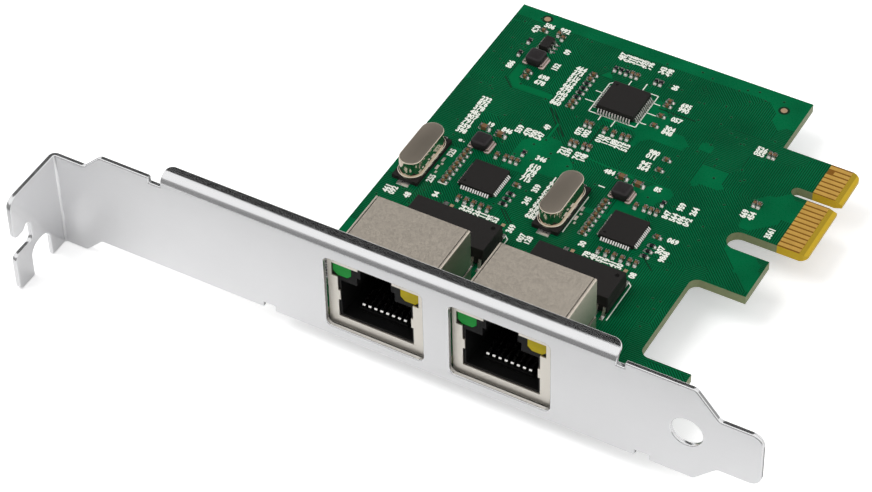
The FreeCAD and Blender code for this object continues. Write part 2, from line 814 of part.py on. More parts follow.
def lamp_leads():
    """Bent leads from the two lamps down through the board."""
    leads = []
    half = wire / 2
    z = jack_bottom_z + lamp_lead_height - half
    for x in lamp_lead_xs():
        path = [(lamp_front + lamp_depth, z, 0), (lamp_pin_depth - half, z, 0),
                (lamp_pin_depth - half, tail_z, 0)]
        leads.append(strip(path, wire, "YZ", x - half, x + half))
    return Part.makeCompound(leads)


# Parts soldered to the board, each built at x = y = 0 on the component side

def moulded_body(length, depth, standoff, height, corner=0.0):
    """Moulded block with a parting line half way up and a draft above and below it."""
    low = board_top + standoff
    high = board_top + height
    levels = [(low, moulding_draft), ((low + high) / 2, 0.0), (high, moulding_draft)]
    wires = []
    for z, inset in levels:
        u = length / 2 - inset
        v = depth / 2 - inset
        wires.append(rounded_wire(rectangle(-u, u, -v, v, corner), lambda p: Vector(p.x, p.y, z)))
    lower = Part.makeLoft(wires[:2], True, True)
    upper = Part.makeLoft(wires[1:], True, True)
    return lower.fuse(upper).removeSplitter()


def lead_row(side, shoulder, knee, reach, height, width, thickness, pitch, count):
    """Gull-wing leads along the side that faces +Y: shoulder, step down and flat foot."""
    path = [(side, board_top + height, 0), (side + shoulder, board_top + height, 0),
            (side + knee, board_top, 0), (side + reach, board_top, 0)]
    if shoulder == 0:
        del path[0]
    leads = []
    for k in range(count):
        x = (k - (count - 1) / 2) * pitch
        leads.append(strip(path, thickness, "YZ", x - width / 2, x + width / 2))
    return leads


def transformer_body():
    return moulded_body(transformer_length, transformer_depth,
                        transformer_standoff, transformer_height)


def transformer_leads():
    row = lead_row(transformer_depth / 2, transformer_lead_shoulder, transformer_lead_knee,
                   transformer_lead_reach, transformer_lead_height, transformer_lead_width,
                   transformer_lead_sheet, transformer_lead_pitch, transformer_lead_count)
    return Part.makeCompound(row + [turned(lead, 180) for lead in row])


def stadium(width, length, z0, z1):
    """Upright solid with straight sides and round ends, its length along Y."""
    corners = rectangle(-width / 2, width / 2, -length / 2, length / 2,
                        round_end_share * width / 2)
    return prism(corners, "XY", z0, z1)


def upper_rim(solid):
    """Edges round the highest face."""
    top = solid.BoundBox.ZMax
    return [edge for edge in solid.Edges if abs(edge.BoundBox.ZMin - top) < 1e-3]


def crystal_can():
    """Drawn metal can with its welded flange."""
    flange_z = board_top + crystal_base_height
    can_z = flange_z + crystal_flange_height
    top_z = board_top + crystal_height
    flange = stadium(crystal_flange_width, crystal_flange_length, flange_z, can_z)
    return flange.fuse(stadium(crystal_can_width, crystal_can_length, flange_z, top_z))


def crystal_terminal():
    """Flat terminal under the +Y end of the base."""
    half = crystal_terminal_width / 2
    end = crystal_base_length / 2
    return box(-half, half, end - crystal_terminal_inside, end + crystal_terminal_outside,
               board_top, board_top + crystal_terminal_sheet)


def crystal_terminals():
    terminal = crystal_terminal()
    return Part.makeCompound([terminal, turned(terminal, 180)])


def crystal_base():
    """Insulating base, recessed underneath for the terminals."""
    half = crystal_base_width / 2
    end = crystal_base_length / 2
    base = box(-half, half, -end, end, board_top, board_top + crystal_base_height)
    terminal = crystal_terminal()
    return base.cut([terminal, turned(terminal, 180)])


def controller_body():
    half = controller_size / 2
    return box(-half, half, -half, half, board_top, board_top + controller_height)


def controller_joints():
    """Solder fillets along the four sides of a flat package."""
    half = controller_size / 2
    wedge = [(half, board_top, 0), (half + controller_joint_reach, board_top, 0),
             (half, board_top + controller_joint_height, 0)]
    joints = []
    for k in range(controller_joint_count):
        x = (k - (controller_joint_count - 1) / 2) * controller_joint_pitch
        joint = prism(wedge, "YZ", x - controller_joint_width / 2, x + controller_joint_width / 2)
        joints += [turned(joint, angle) for angle in (0, 90, 180, 270)]
    return Part.makeCompound(joints)


def switch_body():
    return moulded_body(switch_size, switch_size, switch_standoff, switch_height)


def switch_leads():
    row = lead_row(switch_size / 2, switch_lead_shoulder, switch_lead_knee, switch_lead_reach,
                   switch_lead_height, switch_lead_width, switch_lead_sheet,
                   switch_lead_pitch, switch_lead_count)
    return Part.makeCompound([turned(lead, angle) for lead in row for angle in (0, 90, 180, 270)])


def choke_core():
    """Ferrite core: a cap with cut corners and eased edges over a narrower waist."""
    half = choke_size / 2
    flat = half - choke_corner_cut
    waist = half - choke_waist_inset
    middle_z = board_top + choke_base_height
    corners = [(half, -flat, 0), (half, flat, 0), (flat, half, 0), (-flat, half, 0),
               (-half, flat, 0), (-half, -flat, 0), (-flat, -half, 0), (flat, -half, 0)]
    cap = prism(corners, "XY", middle_z, board_top + choke_height)
    cap = cap.makeChamfer(choke_edge, upper_rim(cap))
    return cap.fuse(box(-waist, waist, -waist, waist, board_top, middle_z))


def choke_terminals():
    """Two plated blocks beside the waist, under the edges of the cap."""
    waist = choke_size / 2 - choke_waist_inset
    half = choke_terminal_width / 2
    terminal = box(waist, waist + choke_terminal_thickness, -half, half,
                   board_top, board_top + choke_base_height)
    return Part.makeCompound([terminal, turned(terminal, 180)])


def regulator_body():
    return turned(moulded_body(regulator_length, regulator_width,
                               regulator_standoff, regulator_height), 90)


def regulator_leads():
    row = lead_row(regulator_width / 2, regulator_lead_shoulder, regulator_lead_knee,
                   regulator_lead_reach, regulator_lead_height, regulator_lead_width,
                   regulator_lead_sheet, regulator_lead_pitch, regulator_lead_count)
    return Part.makeCompound([turned(lead, angle) for lead in row for angle in (90, 270)])


def chip_body(size):
    """Body of a chip component, its length along X, between its end caps."""
    length, width, height, cap = size
    u = length / 2 - cap
    v = width / 2
    return box(-u, u, -v, v, board_top, board_top + height)


def chip_ends(size):
    """Two end caps, a little larger than the body between them."""
    length, width, height, cap = size
    inner = length / 2 - cap
    v = width / 2 + end_cap_overhang
    end = box(inner, length / 2, -v, v, board_top, board_top + height + end_cap_overhang)
    return [end, turned(end, 180)]


def chip_rows():
    """Every chip component as (kind, size, x, y, axis)."""
    chips = []
    origins = [(rows, x, y) for rows, places in ((controller_rows, controller_places),
                                                 (board_rows, ((0.0, 0.0),)))
               for x, y in places]
    for rows, x0, y0 in origins:
        for kind, size, first, step, count, axis in rows:
            for k in range(count):
                chips.append((kind, size, x0 + first[0] + k * step[0],
                              y0 + first[1] + k * step[1], axis))
    return chips


def chip_nodes(nodes):
    """Bodies and end caps of all chip components, one group for each kind."""
    for wanted in ("capacitor", "resistor"):
        bodies = []
        ends = []
        for kind, size, x, y, axis in chip_rows():
            if kind == wanted:
                angle = 0 if axis == "X" else 90
                bodies.append(moved(turned(chip_body(size), angle), x, y))
                ends += [moved(turned(end, angle), x, y) for end in chip_ends(size)]
        nodes["chip_" + wanted + "_bodies"] = Part.makeCompound(bodies)
        nodes["chip_" + wanted + "_ends"] = Part.makeCompound(ends)


def jack_nodes(nodes):
    green = mirrored(lamp_outline(0))
    pieces = {
        "shield": jack_shield(),
        "housing": jack_housing(),
        "contacts": jack_contacts(),
        "yellow_lamp": lamp(),
        "green_lamp": prism(green, "XZ", lamp_front, lamp_front + lamp_depth),
        "lamp_leads": lamp_leads(),
    }
    for number, x in enumerate(jack_x, 1):
        for piece, shape in pieces.items():
            nodes["jack_%d_%s" % (number, piece)] = moved(shape, x, jack_face_y)


def placed_nodes(nodes, name, places, pieces):
    """One set of nodes for each place, numbered where there are several."""
    for number, (x, y) in enumerate(places, 1):
        label = "%s_%d" % (name, number) if len(places) > 1 else name
        for piece, shape in pieces.items():
            nodes["%s_%s" % (label, piece)] = moved(shape, x, y)


def all_nodes():
    nodes = {
        "bracket": bracket(),
        "bracket_screws": bracket_screws(),
        "circuit_board": circuit_board(),
        "edge_contacts_top": fingers(board_top, board_top + finger_thickness, True),
        "edge_contacts_bottom": fingers(board_bottom - finger_thickness, board_bottom, False),
    }
    jack_nodes(nodes)
    transformer_places = [(x + transformer_shift, transformer_y) for x in jack_x]
    placed_nodes(nodes, "transformer", transformer_places,
                 {"body": transformer_body(), "leads": transformer_leads()})
    placed_nodes(nodes, "crystal", crystal_places,
                 {"can": crystal_can(), "base": crystal_base(), "terminals": crystal_terminals()})
    placed_nodes(nodes, "controller", controller_places,
                 {"body": controller_body(), "joints": controller_joints()})
    placed_nodes(nodes, "switch", [switch_place],
                 {"body": switch_body(), "leads": switch_leads()})
    placed_nodes(nodes, "choke", choke_places,
                 {"core": choke_core(), "terminals": choke_terminals()})
    placed_nodes(nodes, "regulator", [regulator_place],
                 {"body": regulator_body(), "leads": regulator_leads()})
    chip_nodes(nodes)
    return nodes


def main():
    os.makedirs("parts", exist_ok=True)
    for name, shape in all_nodes().items():
        shape.exportStep("parts/%s.step" % name)


if __name__ == "__main__":
    main()
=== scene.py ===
import math
import random

import bmesh
import bpy
from bpy.props import FloatProperty, FloatVectorProperty, IntProperty, PointerProperty
from mathutils import Matrix, Vector


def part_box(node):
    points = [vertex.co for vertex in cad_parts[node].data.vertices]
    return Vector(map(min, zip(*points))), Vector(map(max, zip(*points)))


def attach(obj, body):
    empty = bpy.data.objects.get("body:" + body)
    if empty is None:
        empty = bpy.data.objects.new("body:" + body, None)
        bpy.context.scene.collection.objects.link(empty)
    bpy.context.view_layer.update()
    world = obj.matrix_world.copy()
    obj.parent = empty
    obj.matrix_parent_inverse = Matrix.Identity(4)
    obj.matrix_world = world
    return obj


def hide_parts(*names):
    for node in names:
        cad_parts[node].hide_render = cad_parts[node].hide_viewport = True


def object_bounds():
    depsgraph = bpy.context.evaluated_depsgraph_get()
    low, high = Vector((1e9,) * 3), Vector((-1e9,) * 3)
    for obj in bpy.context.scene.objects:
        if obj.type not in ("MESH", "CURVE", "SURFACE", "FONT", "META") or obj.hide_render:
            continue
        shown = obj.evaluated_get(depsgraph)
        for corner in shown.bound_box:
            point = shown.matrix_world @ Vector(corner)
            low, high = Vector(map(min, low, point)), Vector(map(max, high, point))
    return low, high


bl_info = {
    "name": "Network card",
    "version": (1, 0, 0),
    "blender": (4, 5, 0),
    "location": "3D View > Sidebar > Network card",
    "description": "Finishes, solder and printing of a two-port network card",
    "category": "Object",
}

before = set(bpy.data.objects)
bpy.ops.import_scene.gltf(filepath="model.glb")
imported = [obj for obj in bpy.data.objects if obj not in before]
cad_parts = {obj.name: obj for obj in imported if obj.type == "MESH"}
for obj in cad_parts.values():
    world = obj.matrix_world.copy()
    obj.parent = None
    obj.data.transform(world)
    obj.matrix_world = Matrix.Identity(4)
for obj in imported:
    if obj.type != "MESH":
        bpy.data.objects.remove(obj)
cad_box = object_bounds()

# Everything below is in millimetres until it becomes a mesh
MM = 0.001

# Camera that took the picture: its place, and the directions of its right and of its back
CAMERA_PLACE = (121.07, -329.66, 338.72)
CAMERA_RIGHT = (0.87172, 0.48965, -0.01869)
CAMERA_BACK = (0.35854, -0.61137, 0.70546)
CAMERA_LENS = 129.58
CAMERA_SENSOR = 36.0

# Board: its faces, where the mask ends at the tongue, and the plain copper at the far edge
BOARD_LOW, BOARD_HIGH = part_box("circuit_board")
BOARD_TOP = BOARD_HIGH.z / MM
BOARD_BOTTOM = BOARD_LOW.z / MM
BARE_TONGUE_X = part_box("edge_contacts_top")[0].x / MM
BARE_TONGUE_Y = -12.6
CONTACTS_END_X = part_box("edge_contacts_top")[1].x / MM
TONGUE_RIM_X = CONTACTS_END_X * 0.45
PLAIN_COPPER_Y = BOARD_HIGH.y / MM - 2.6
TRACE_SCALE = 0.85
SLANTED_TRACE_SCALE = 1.2

# Bracket: everything on the card's side of this place is the plate
BRACKET_TAB_X = -104.0

# Jacks: solder tabs of the shields, and the band of the spring wires that gets a painted glint
# that glows
SHIELD_TAB_FROM_FACE = 12.9
SHIELD_TAB_HALF_SPAN = 7.975
# Painted glint: the band of the wires near the jack's mouth that is painted bright and made to
# glow
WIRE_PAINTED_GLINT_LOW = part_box("jack_1_contacts")[1].z / MM - 1.9
WIRE_PAINTED_GLINT_HIGH = WIRE_PAINTED_GLINT_LOW + 0.26
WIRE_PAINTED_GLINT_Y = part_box("jack_1_contacts")[0].y / MM + 0.2
WIRE_PAINTED_GLOW = 0.5


def srgb(red, green, blue):
    """Linear colour for a colour that is known as 0 to 255 on screen."""
    def linear(value):
        value /= 255
        return value / 12.92 if value <= 0.04045 else ((value + 0.055) / 1.055) ** 2.4
    return (linear(red), linear(green), linear(blue), 1.0)


def colour(name, description, red, green, blue):
    return FloatVectorProperty(name=name, description=description, subtype="COLOR", size=4,
                               min=0.0, max=1.0, default=srgb(red, green, blue))


def length(name, description, millimetres):
    return FloatProperty(name=name, description=description, unit="LENGTH", subtype="DISTANCE",
                         default=millimetres * MM, precision=5)


class CARD_PG_finishes(bpy.types.PropertyGroup):
    """Colours of the card's materials."""

    steel: colour("Bracket steel", "Plated steel of the bracket", 238, 238, 239)
    shield: colour("Jack shield", "Nickel silver of the jack shields", 220, 210, 196)
    # Painted highlight: a lighter tint for the shields' forward faces, standing in for the pale
    # floor they reflect
    shield_front: colour("Jack front painted highlight", "Nickel silver that faces the plug", 243, 238, 229)
    can: colour("Crystal can", "Drawn metal of the crystals", 214, 201, 184)
    mask_dark: colour("Mask between traces", "Solder mask on bare laminate", 0, 56, 32)
    mask_light: colour("Mask on copper", "Solder mask on copper", 0, 106, 63)
    mask_pour: colour("Mask on pours", "Solder mask on wide copper", 0, 104, 60)
    laminate: colour("Laminate edge", "Cut edge of the board", 142, 150, 112)
    bare_laminate: colour("Bare laminate", "Board at the tongue's rim", 206, 172, 46)
    contact_groove: colour("Contact groove", "Board between the contacts", 128, 86, 30)
    gold: colour("Gold", "Plating of the edge contacts", 230, 182, 88)
    printing: colour("Printing", "Ink on the board", 240, 242, 232)
    solder: colour("Solder", "Tin on leads and pads", 232, 230, 226)
    chip: colour("Chip body", "Moulded chips", 31, 29, 28)
    housing: colour("Jack housing", "Moulding inside the jacks", 12, 12, 12)
    capacitor: colour("Capacitor", "Ceramic of the capacitors", 116, 88, 62)
    resistor: colour("Resistor", "Glaze of the resistors", 30, 30, 34)
    ferrite: colour("Ferrite", "Choke cores", 40, 37, 38)
    choke_end: colour("Choke terminal", "Plating of the chokes", 200, 182, 176)
    green_lamp: colour("Green lamp", "Left lamp of a jack", 6, 144, 50)
    yellow_lamp: colour("Yellow lamp", "Right lamp of a jack", 184, 164, 10)
    copper: colour("Copper", "Bare copper marks", 196, 164, 132)
    floor: colour("Floor", "Pale floor", 246, 246, 246)


class CARD_PG_sizes(bpy.types.PropertyGroup):
    """Sizes of the pieces that the frame doesn't have."""

    ink_height: length("Ink height", "Thickness of the printing", 0.02)
    figure_height: length("Figure height", "Height of the printed figures", 0.98)
    line_width: length("Line width", "Width of printed lines", 0.17)
    pad_height: length("Pad height", "Thickness of a tinned pad", 0.03)
    fillet_reach: length("Fillet reach", "How far solder runs out from a chip", 0.2)
    fillet_rise: length("Fillet rise", "How high solder climbs a chip", 0.22)
    joint_radius: length("Joint radius", "Solder round a pin under the board", 0.72)
    joint_height: length("Joint height", "Height of solder round a pin", 0.6)
    via_radius: length("Via radius", "Ring of a via", 0.3)
    sheet_edge: length("Sheet edge", "Rounding of the bracket's edges", 0.22)
    rim_radius: length("Can rim", "Rounding of a crystal's rim", 0.14)
    via_count: IntProperty(name="Vias", description="Number of vias", default=150, min=0)


# Meshes

def node_islands(node):
    """Low and high corner of each separate solid of a CAD node, in millimetres."""
    bm = bmesh.new()
    bm.from_mesh(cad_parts[node].data)
    bmesh.ops.remove_doubles(bm, verts=bm.verts, dist=1e-7)
    left = set(bm.verts)
    boxes = []
    while left:
        first = left.pop()
        island = [first]
        stack = [first]
        while stack:
            for edge in stack.pop().link_edges:
                for vert in edge.verts:
                    if vert in left:
                        left.remove(vert)
                        island.append(vert)
                        stack.append(vert)
        low = Vector(min(vert.co[i] for vert in island) for i in range(3)) / MM
        high = Vector(max(vert.co[i] for vert in island) for i in range(3)) / MM
        boxes.append((low, high))
    bm.free()
    return sorted(boxes, key=lambda pair: tuple(round(c, 3) for c in pair[0]))


def node_box(node):
    """Lowest and highest corner of a CAD node, in millimetres."""
    low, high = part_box(node)
    return low / MM, high / MM


def add_block(bm, low, high):
    """Closed block between two corners in millimetres; returns its vertices."""
    made = bmesh.ops.create_cube(bm, size=1.0)["verts"]
    size = Vector(high) - Vector(low)
    middle = (Vector(high) + Vector(low)) / 2
    bmesh.ops.scale(bm, vec=size * MM, verts=made)
    bmesh.ops.translate(bm, vec=middle * MM, verts=made)
    return made


def edges_among(verts, wanted):
    """Edges between these vertices for which wanted(edge) holds."""
    inside = set(verts)
    found = {edge for vert in verts for edge in vert.link_edges
             if edge.verts[0] in inside and edge.verts[1] in inside and wanted(edge)}
    return list(found)


def is_upright(edge):
    first, second = edge.verts
    return abs(first.co.z - second.co.z) > 0.9 * edge.calc_length()


def round_edges(bm, edges, width, steps):
    """Rounds these edges by a width in millimetres."""
    bmesh.ops.bevel(bm, geom=edges, offset=width * MM, offset_type="OFFSET", segments=steps,
                    profile=0.5, affect="EDGES", material=-1, clamp_overlap=True)


def add_rounded_block(bm, low, high, corner, rim, corner_steps, rim_steps=3):
    """Block with rounded upright edges and a rounded upper rim."""
    made = add_block(bm, low, high)
    before = set(bm.verts) - set(made)
    round_edges(bm, edges_among(made, is_upright), corner, corner_steps)
    made = [vert for vert in bm.verts if vert not in before]
    top = max(vert.co.z for vert in made)

    def on_rim(edge):
        if any(abs(vert.co.z - top) > 1e-7 for vert in edge.verts):
            return False
        return any(abs(face.normal.z) < 0.5 for face in edge.link_faces)
    bm.normal_update()
    if rim > 0:
        round_edges(bm, edges_among(made, on_rim), rim, rim_steps)


def add_line(bm, start, end, width, low, high):
    """Thin straight bar on the board between two (x, y) points."""
    start = Vector(start)
    end = Vector(end)
    run = end - start
    made = add_block(bm, (0, -width / 2, low), (run.length, width / 2, high))
    turn = Matrix.Rotation(math.atan2(run.y, run.x), 4, "Z")
    bmesh.ops.rotate(bm, cent=(0, 0, 0), matrix=turn, verts=made)
    bmesh.ops.translate(bm, vec=Vector((start.x, start.y, 0)) * MM, verts=made)


def add_disc(bm, place, radius, far_radius, height, segments):
    """Closed disc or cone, in metres, whose middle is at a place in millimetres."""
    made = bmesh.ops.create_cone(bm, cap_ends=True, cap_tris=False, segments=segments,
                                 radius1=radius, radius2=far_radius, depth=height)["verts"]
    bmesh.ops.translate(bm, vec=Vector(place) * MM, verts=made)
    return made


def inset_top(bm, verts, thickness, depth=0.0):
    """Insets the upward faces of these vertices and returns them."""
    bm.normal_update()
    faces = {face for vert in verts for face in vert.link_faces}
    tops = [face for face in faces if face.normal.z > 0.9]
    bmesh.ops.inset_region(bm, faces=tops, thickness=thickness, depth=depth)
    return tops


def add_object(name, data):
    made = bpy.data.objects.new(name, data)
    bpy.context.scene.collection.objects.link(made)
    return made


def object_from(name, bm, materials):
    """Object from a finished bmesh."""
    mesh = bpy.data.meshes.new(name)
    bm.to_mesh(mesh)
    bm.free()
    for material in materials:
        mesh.materials.append(material)
    return add_object(name, mesh)


def make_piece(name, bm, materials, smooth=False):
    """Piece from a finished bmesh, riding with the card."""
    bmesh.ops.recalc_face_normals(bm, faces=bm.faces)
    piece = object_from(name, bm, materials)
    if smooth:
        piece.data.shade_smooth()
        piece.data.set_sharp_from_angle(angle=math.radians(35))
    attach(piece, "root")
    return piece


def dress(node, material):
    """Gives a CAD node its material."""
    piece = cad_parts[node]
    if not piece.material_slots:
        piece.data.materials.append(material)
    for holder in piece.material_slots:
        holder.material = material


def ease_edges(node, width, steps=2, clamp=True):
    """Joins a CAD node's loose triangles into flat faces and rounds its sharp edges."""
    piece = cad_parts[node]
    weld = piece.modifiers.new("Join", "WELD")
    weld.merge_threshold = 1e-6
    flat = piece.modifiers.new("Flat faces", "DECIMATE")
    flat.decimate_type = "DISSOLVE"
    flat.angle_limit = math.radians(1)
    bevel = piece.modifiers.new("Edges", "BEVEL")
    bevel.width = width
    bevel.segments = steps
    bevel.limit_method = "ANGLE"
    bevel.angle_limit = math.radians(32)
    bevel.harden_normals = True
    bevel.use_clamp_overlap = clamp


# Materials

class Recipe:
    """A node material under construction."""

    def __init__(self, name):
        self.material = bpy.data.materials.new(name)
        self.material.use_nodes = True
        self.tree = self.material.node_tree
        self.shader = self.tree.nodes["Principled BSDF"]

    def add(self, kind, settings=None, **inputs):
        made = self.tree.nodes.new(kind)
        for key, value in (settings or {}).items():
            setattr(made, key, value)
        for key, value in inputs.items():
            self.put(made, key, value)
        return made

    def put(self, node, key, value):
        """Links a socket, or sets it, by its name or number."""
        index = int(key[1:]) if key[0] == "_" else key.replace("_", " ")
        socket = node.inputs[index]
        if isinstance(value, bpy.types.NodeSocket):
            self.tree.links.new(value, socket)
        else:
            socket.default_value = value

    def shade(self, **inputs):
        for key, value in inputs.items():
            self.put(self.shader, key, value)

    def math(self, operation, first, second=0.5):
        made = self.add("ShaderNodeMath", {"operation": operation}, _0=first, _1=second)
        return made.outputs[0]

    def over(self, value, limit):
        return self.math("GREATER_THAN", value, limit)

    def under(self, value, limit):
        return self.math("LESS_THAN", value, limit)

    def times(self, first, second):
        return self.math("MULTIPLY", first, second)

    def blend(self, share, first, second):
        return self.add("ShaderNodeMix", _0=share, _2=first, _3=second).outputs[0]

    def scaled(self, per_mm, stretch=(1, 1, 1)):
        """Object coordinates with the given number of texture units to a millimetre."""
        place = self.add("ShaderNodeTexCoord").outputs["Object"]
        made = self.add("ShaderNodeMapping", Vector=place,
                        Scale=[per_mm / MM * s for s in stretch])
        return made.outputs["Vector"]

    def noise(self, per_mm, detail=3.0, stretch=(1, 1, 1), roughness=0.55):
        made = self.add("ShaderNodeTexNoise", Vector=self.scaled(per_mm, stretch), Scale=1.0,
                        Detail=detail, Roughness=roughness)
        return made.outputs["Fac"]

    def span(self, value, low, high, from_low=0.3, from_high=0.7):
        made = self.add("ShaderNodeMapRange", Value=value, From_Min=from_low,
                        From_Max=from_high, To_Min=low, To_Max=high)
        return made.outputs[0]

    def mix(self, share, first, second):
        made = self.add("ShaderNodeMix", {"data_type": "RGBA"}, _0=share, _6=first, _7=second)
        return made.outputs[2]

    def bump(self, height, depth_mm):
        made = self.add("ShaderNodeBump", Height=height, Strength=1.0, Distance=depth_mm * MM)
        self.shade(Normal=made.outputs["Normal"])

    def separate(self, vector):
        return self.add("ShaderNodeSeparateXYZ", Vector=vector).outputs

    def normal(self):
        """Which way the surface faces, on the piece's own axes."""
        return self.separate(self.add("ShaderNodeTexCoord").outputs["Normal"])


def shaded(tint, factor):
    return tuple(channel * factor for channel in tint[:3]) + (1.0,)


def metal(name, tint, rough, grain, relief=0.003, vary=0.06, metallic=1.0):
    """Satin metal with a fine grain."""
    recipe = Recipe(name)
    grain_value = recipe.noise(1.0, detail=4.0, stretch=grain)
    clouds = recipe.noise(0.08, detail=2.0)
    base = recipe.mix(clouds, shaded(tint, 1 - vary), tint)
    recipe.shade(Base_Color=base, Metallic=metallic,
                 Roughness=recipe.span(grain_value, *rough))
    recipe.bump(grain_value, relief)
    return recipe.material


def copper_material(name, look):
    return metal(name, look.copper, rough=(0.3, 0.45), grain=(3, 3, 3), metallic=0.4)


def bracket_material(look):
    """Plated steel: satin flat face, brighter rolled edge, cut edges at the plate darker: dull
    cut steel and painted shade.
    """
    recipe = Recipe("Bracket steel")
    grain = recipe.noise(1.0, detail=4.0, stretch=(0.5, 5.0, 5.0))
    clouds = recipe.noise(0.08, detail=2.0)
    facing = recipe.normal()
    facing_y = recipe.math("ABSOLUTE", facing["Y"])
    is_face = recipe.over(facing_y, 0.98)
    sideways = recipe.over(recipe.math("ABSOLUTE", facing["X"]), 0.2)
    past_tab = recipe.over(recipe.separate(recipe.scaled(1.0))["X"], BRACKET_TAB_X)
    # Cut edges past the tab: partly the dull unplated cut, partly painted shade in the openings
    cut_dull_and_shaded = recipe.times(recipe.times(recipe.under(facing_y, 0.02), past_tab), sideways)
    rough = recipe.blend(is_face, recipe.span(grain, 0.2, 0.27),
                         recipe.span(grain, 0.36, 0.44))
    rough = recipe.blend(cut_dull_and_shaded, rough, 0.55)
    base = recipe.mix(clouds, shaded(look.steel, 0.95), look.steel)
    # Painted shade and dull cut steel: the cut edges take 0.4 of the steel's tint
    recipe.shade(Base_Color=recipe.mix(cut_dull_and_shaded, base, shaded(look.steel, 0.4)),
                 Metallic=1.0, Roughness=rough)
    recipe.bump(grain, 0.001)
    return recipe.material


def shield_material(look):
    """Nickel silver with a mottled satin top and smoother sides; its forward faces get a
    lighter painted highlight.
    """
    recipe = Recipe("Jack shield")
    mottle = recipe.span(recipe.noise(3.2, roughness=0.8), 0.0, 1.0, 0.4, 0.6)
    clouds = recipe.noise(0.12, detail=2.0)
    base = recipe.mix(mottle, shaded(look.shield, 0.85), shaded(look.shield, 1.03))
    base = recipe.mix(clouds, shaded(look.shield, 0.97), base)
    facing = recipe.normal()
    is_side = recipe.over(recipe.math("ABSOLUTE", facing["X"]), 0.7)
    # Painted highlight: faces that look forward along -Y take a lighter tint in place of the
    # floor's reflection
    painted_front_highlight = recipe.under(facing["Y"], -0.9)
    base = recipe.mix(painted_front_highlight, base, look.shield_front)
    rough = recipe.blend(is_side, recipe.span(mottle, 0.46, 0.56, 0, 1),
                         recipe.span(mottle, 0.36, 0.42, 0, 1))
    recipe.shade(Base_Color=base, Metallic=1.0, Roughness=rough)
    recipe.bump(mottle, 0.002)
    return recipe.material


def plastic(name, tint, rough=(0.45, 0.6), grain=9.0, relief=0.006):
    """Moulded plastic with a fine spark-eroded texture."""
    recipe = Recipe(name)
    fine = recipe.noise(grain)
    base = recipe.mix(fine, shaded(tint, 0.88), shaded(tint, 1.12))
    recipe.shade(Base_Color=base, Roughness=recipe.span(fine, *rough), Specular_IOR_Level=0.2)
    recipe.bump(fine, relief)
    return recipe.material


def coat(name, tint, grain, dark, relief, rough=None, detail=3.0, **settings):
    """Thin layer whose tint varies finely between a darker and its full value."""
    recipe = Recipe(name)
    fine = recipe.noise(grain, detail=detail)
    recipe.shade(Base_Color=recipe.mix(fine, shaded(tint, dark), tint), **settings)
    if rough:
        recipe.shade(Roughness=recipe.span(fine, *rough))
    if relief:
        recipe.bump(fine, relief)
    return recipe.material


def lens(name, tint):
    """Tinted diffusing plastic of an indicator lamp."""
    recipe = Recipe(name)
    depth = recipe.noise(0.5, detail=1.0)
    recipe.shade(Base_Color=recipe.mix(depth, shaded(tint, 0.75), shaded(tint, 1.15)),
                 Roughness=0.3, Subsurface_Weight=0.1, Specular_IOR_Level=0.15,
                 Subsurface_Radius=(0.0005, 0.0005, 0.0005))
    return recipe.material


def board_material(look):
    """Solder mask over fine traces, bare laminate between the contacts and at the cut edges."""
    recipe = Recipe("Board")
    per_mm = recipe.scaled(1.0)
    where = recipe.separate(per_mm)
    patch = recipe.add("ShaderNodeTexVoronoi", {"distance": "CHEBYCHEV"},
                       Vector=per_mm, Scale=0.13, Randomness=0.9)
    pick = recipe.separate(patch.outputs["Color"])["X"]
    lines = []
    for direction, scale in (("X", TRACE_SCALE), ("Y", TRACE_SCALE),
                             ("DIAGONAL", SLANTED_TRACE_SCALE)):
        wave = recipe.add("ShaderNodeTexWave", {"bands_direction": direction},
                          Vector=per_mm, Scale=scale, Distortion=0.0)
        lines.append(wave.outputs["Fac"])
    along_x = recipe.over(pick, 0.55)
    slanted = recipe.over(pick, 0.84)
    plain = recipe.math("MAXIMUM", recipe.under(pick, 0.12),
                        recipe.over(where["Y"], PLAIN_COPPER_Y))
    pattern = recipe.blend(along_x, lines[0], lines[1])
    pattern = recipe.blend(slanted, pattern, lines[2])
    trace = recipe.blend(plain, recipe.span(pattern, 0.0, 1.0, 0.35, 0.6), 1.0)
    clouds = recipe.noise(0.12, detail=2.0)
    strength = recipe.times(trace, recipe.span(clouds, 0.55, 0.95))
    mask = recipe.mix(strength, look.mask_dark, look.mask_light)

    facing = recipe.normal()
    upright = recipe.math("ABSOLUTE", facing["Z"])
    is_edge = recipe.under(upright, 0.35)
    fibres = recipe.noise(2.0, stretch=(1, 1, 6))
    edge = recipe.mix(fibres, shaded(look.laminate, 0.62), look.laminate)
    bare = recipe.times(recipe.over(where["X"], BARE_TONGUE_X),
                        recipe.over(where["Y"], BARE_TONGUE_Y))
    laminate = recipe.mix(fibres, shaded(look.bare_laminate, 0.85), look.bare_laminate)
    beyond_contacts = recipe.over(where["X"], CONTACTS_END_X)
    groove = recipe.mix(beyond_contacts, look.contact_groove, shaded(look.bare_laminate, 0.62))
    rim = recipe.over(where["X"], TONGUE_RIM_X)
    laminate = recipe.mix(recipe.math("MAXIMUM", rim, is_edge), groove, laminate)
    base = recipe.mix(is_edge, mask, edge)
    base = recipe.mix(bare, base, laminate)
    fine = recipe.noise(6.0, detail=2.0)
    recipe.shade(Base_Color=base, Roughness=recipe.span(fine, 0.25, 0.35),
                 Specular_IOR_Level=0.1)
    recipe.bump(recipe.math("ADD", trace, recipe.times(fine, 0.3)), 0.008)
    return recipe.material


def pour_material(look):
    return coat("Pour", look.mask_pour, 0.8, 0.88, 0.004, Roughness=0.3,
                Specular_IOR_Level=0.1)


